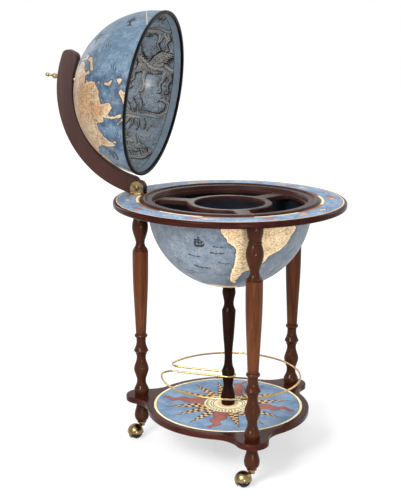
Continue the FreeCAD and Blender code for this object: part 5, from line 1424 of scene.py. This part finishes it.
def surroundings(level):
    """White where it is seen or mirrored or seen through a piece, and a soft even light on all else: the
    strength is 1 for the rays that see it and a level for the others."""
    world = bpy.data.worlds.new("studio")
    world.use_nodes = True
    bpy.context.scene.world = world
    bench = Bench(world.node_tree)
    back = world.node_tree.nodes["Background"]
    back.inputs["Color"].default_value = (1.0, 1.0, 1.0, 1.0)
    bench.join(bench.seen() * (1.0 - level) + level, back.inputs["Strength"])


def softbox(name, place, aim, width, height, watts, spread=180.0, mirrored=True):
    """A rectangular lamp that faces a point, with its light kept to a spread in degrees. It may be left out
    of what shiny surfaces mirror."""
    lamp = bpy.data.lights.new(name, "AREA")
    lamp.shape = "RECTANGLE"
    lamp.size = width
    lamp.size_y = height
    lamp.energy = watts
    lamp.spread = math.radians(spread)
    holder = bpy.data.objects.new(name, lamp)
    facing = (Vector(place) - Vector(aim)).to_track_quat("Z", "Y").to_matrix().to_4x4()
    holder.matrix_world = Matrix.Translation(Vector(place)) @ facing
    holder.visible_camera = False
    holder.visible_glossy = mirrored
    bpy.context.scene.collection.objects.link(holder)


def camera():
    """Camera of the photograph's view: it looks from an eye to an aim with a slight roll. The focal length is
    in pixels of a frame that is 500 high."""
    focal, frame_height, sensor = 1121.37, 500.0, 36.0
    eye = Vector((0.7318, -2.5905, 1.1469))
    aim = Vector((-0.0685, -0.0194, 0.5157))
    roll = 0.0032
    ahead = (aim - eye).normalized()
    level = ahead.cross(Vector((0.0, 0.0, 1.0))).normalized()
    above = level.cross(ahead)
    right = level * math.cos(roll) + above * math.sin(roll)
    up = above * math.cos(roll) - level * math.sin(roll)
    lens = bpy.data.cameras.new("view")
    lens.sensor_width = sensor
    lens.lens = focal / frame_height * sensor
    lens.clip_end = 100.0
    holder = bpy.data.objects.new("view", lens)
    holder.matrix_world = Matrix(((right.x, up.x, -ahead.x, eye.x), (right.y, up.y, -ahead.y, eye.y),
                                  (right.z, up.z, -ahead.z, eye.z), (0.0, 0.0, 0.0, 1.0)))
    bpy.context.scene.collection.objects.link(holder)
    bpy.context.scene.camera = holder


studio_floor()
surroundings(level=0.25)
softbox("key", (1.65, -2.35, 0.92), (0.0, 0.0, 0.75), 0.7, 1.2, 30.0, mirrored=False)
softbox("glint", (1.36, -2.42, 0.38), (-0.2, 0.0, 0.9), 0.4, 0.4, 13.0)
softbox("spark", (-1.1, -2.6, 1.5), (0.0, 0.0, 0.45), 0.22, 0.4, 10.0)
softbox("fill", (-0.9, -2.3, 2.3), (0.0, 0.0, 0.4), 1.2, 1.2, 45.0)
softbox("top", (0.0, 0.4, 2.9), (0.0, 0.0, 0.5), 2.0, 2.0, 30.0)
softbox("shelf", (-0.2, -1.5, 1.15), (0.0, 0.0, 0.1), 0.5, 0.5, 1.5, spread=45.0)
softbox("back", (-0.8, 2.5, 1.25), (0.0, 0.0, 0.5), 0.3, 0.5, 0.8)
softbox("rear left", (-2.4, 1.3, 1.6), (0.0, 0.0, 0.5), 0.8, 1.2, 14.0)
softbox("rear right", (1.9, 1.9, 1.6), (0.0, 0.0, 0.5), 0.8, 1.2, 14.0)
camera()
bpy.context.scene.view_settings.view_transform = "Standard"
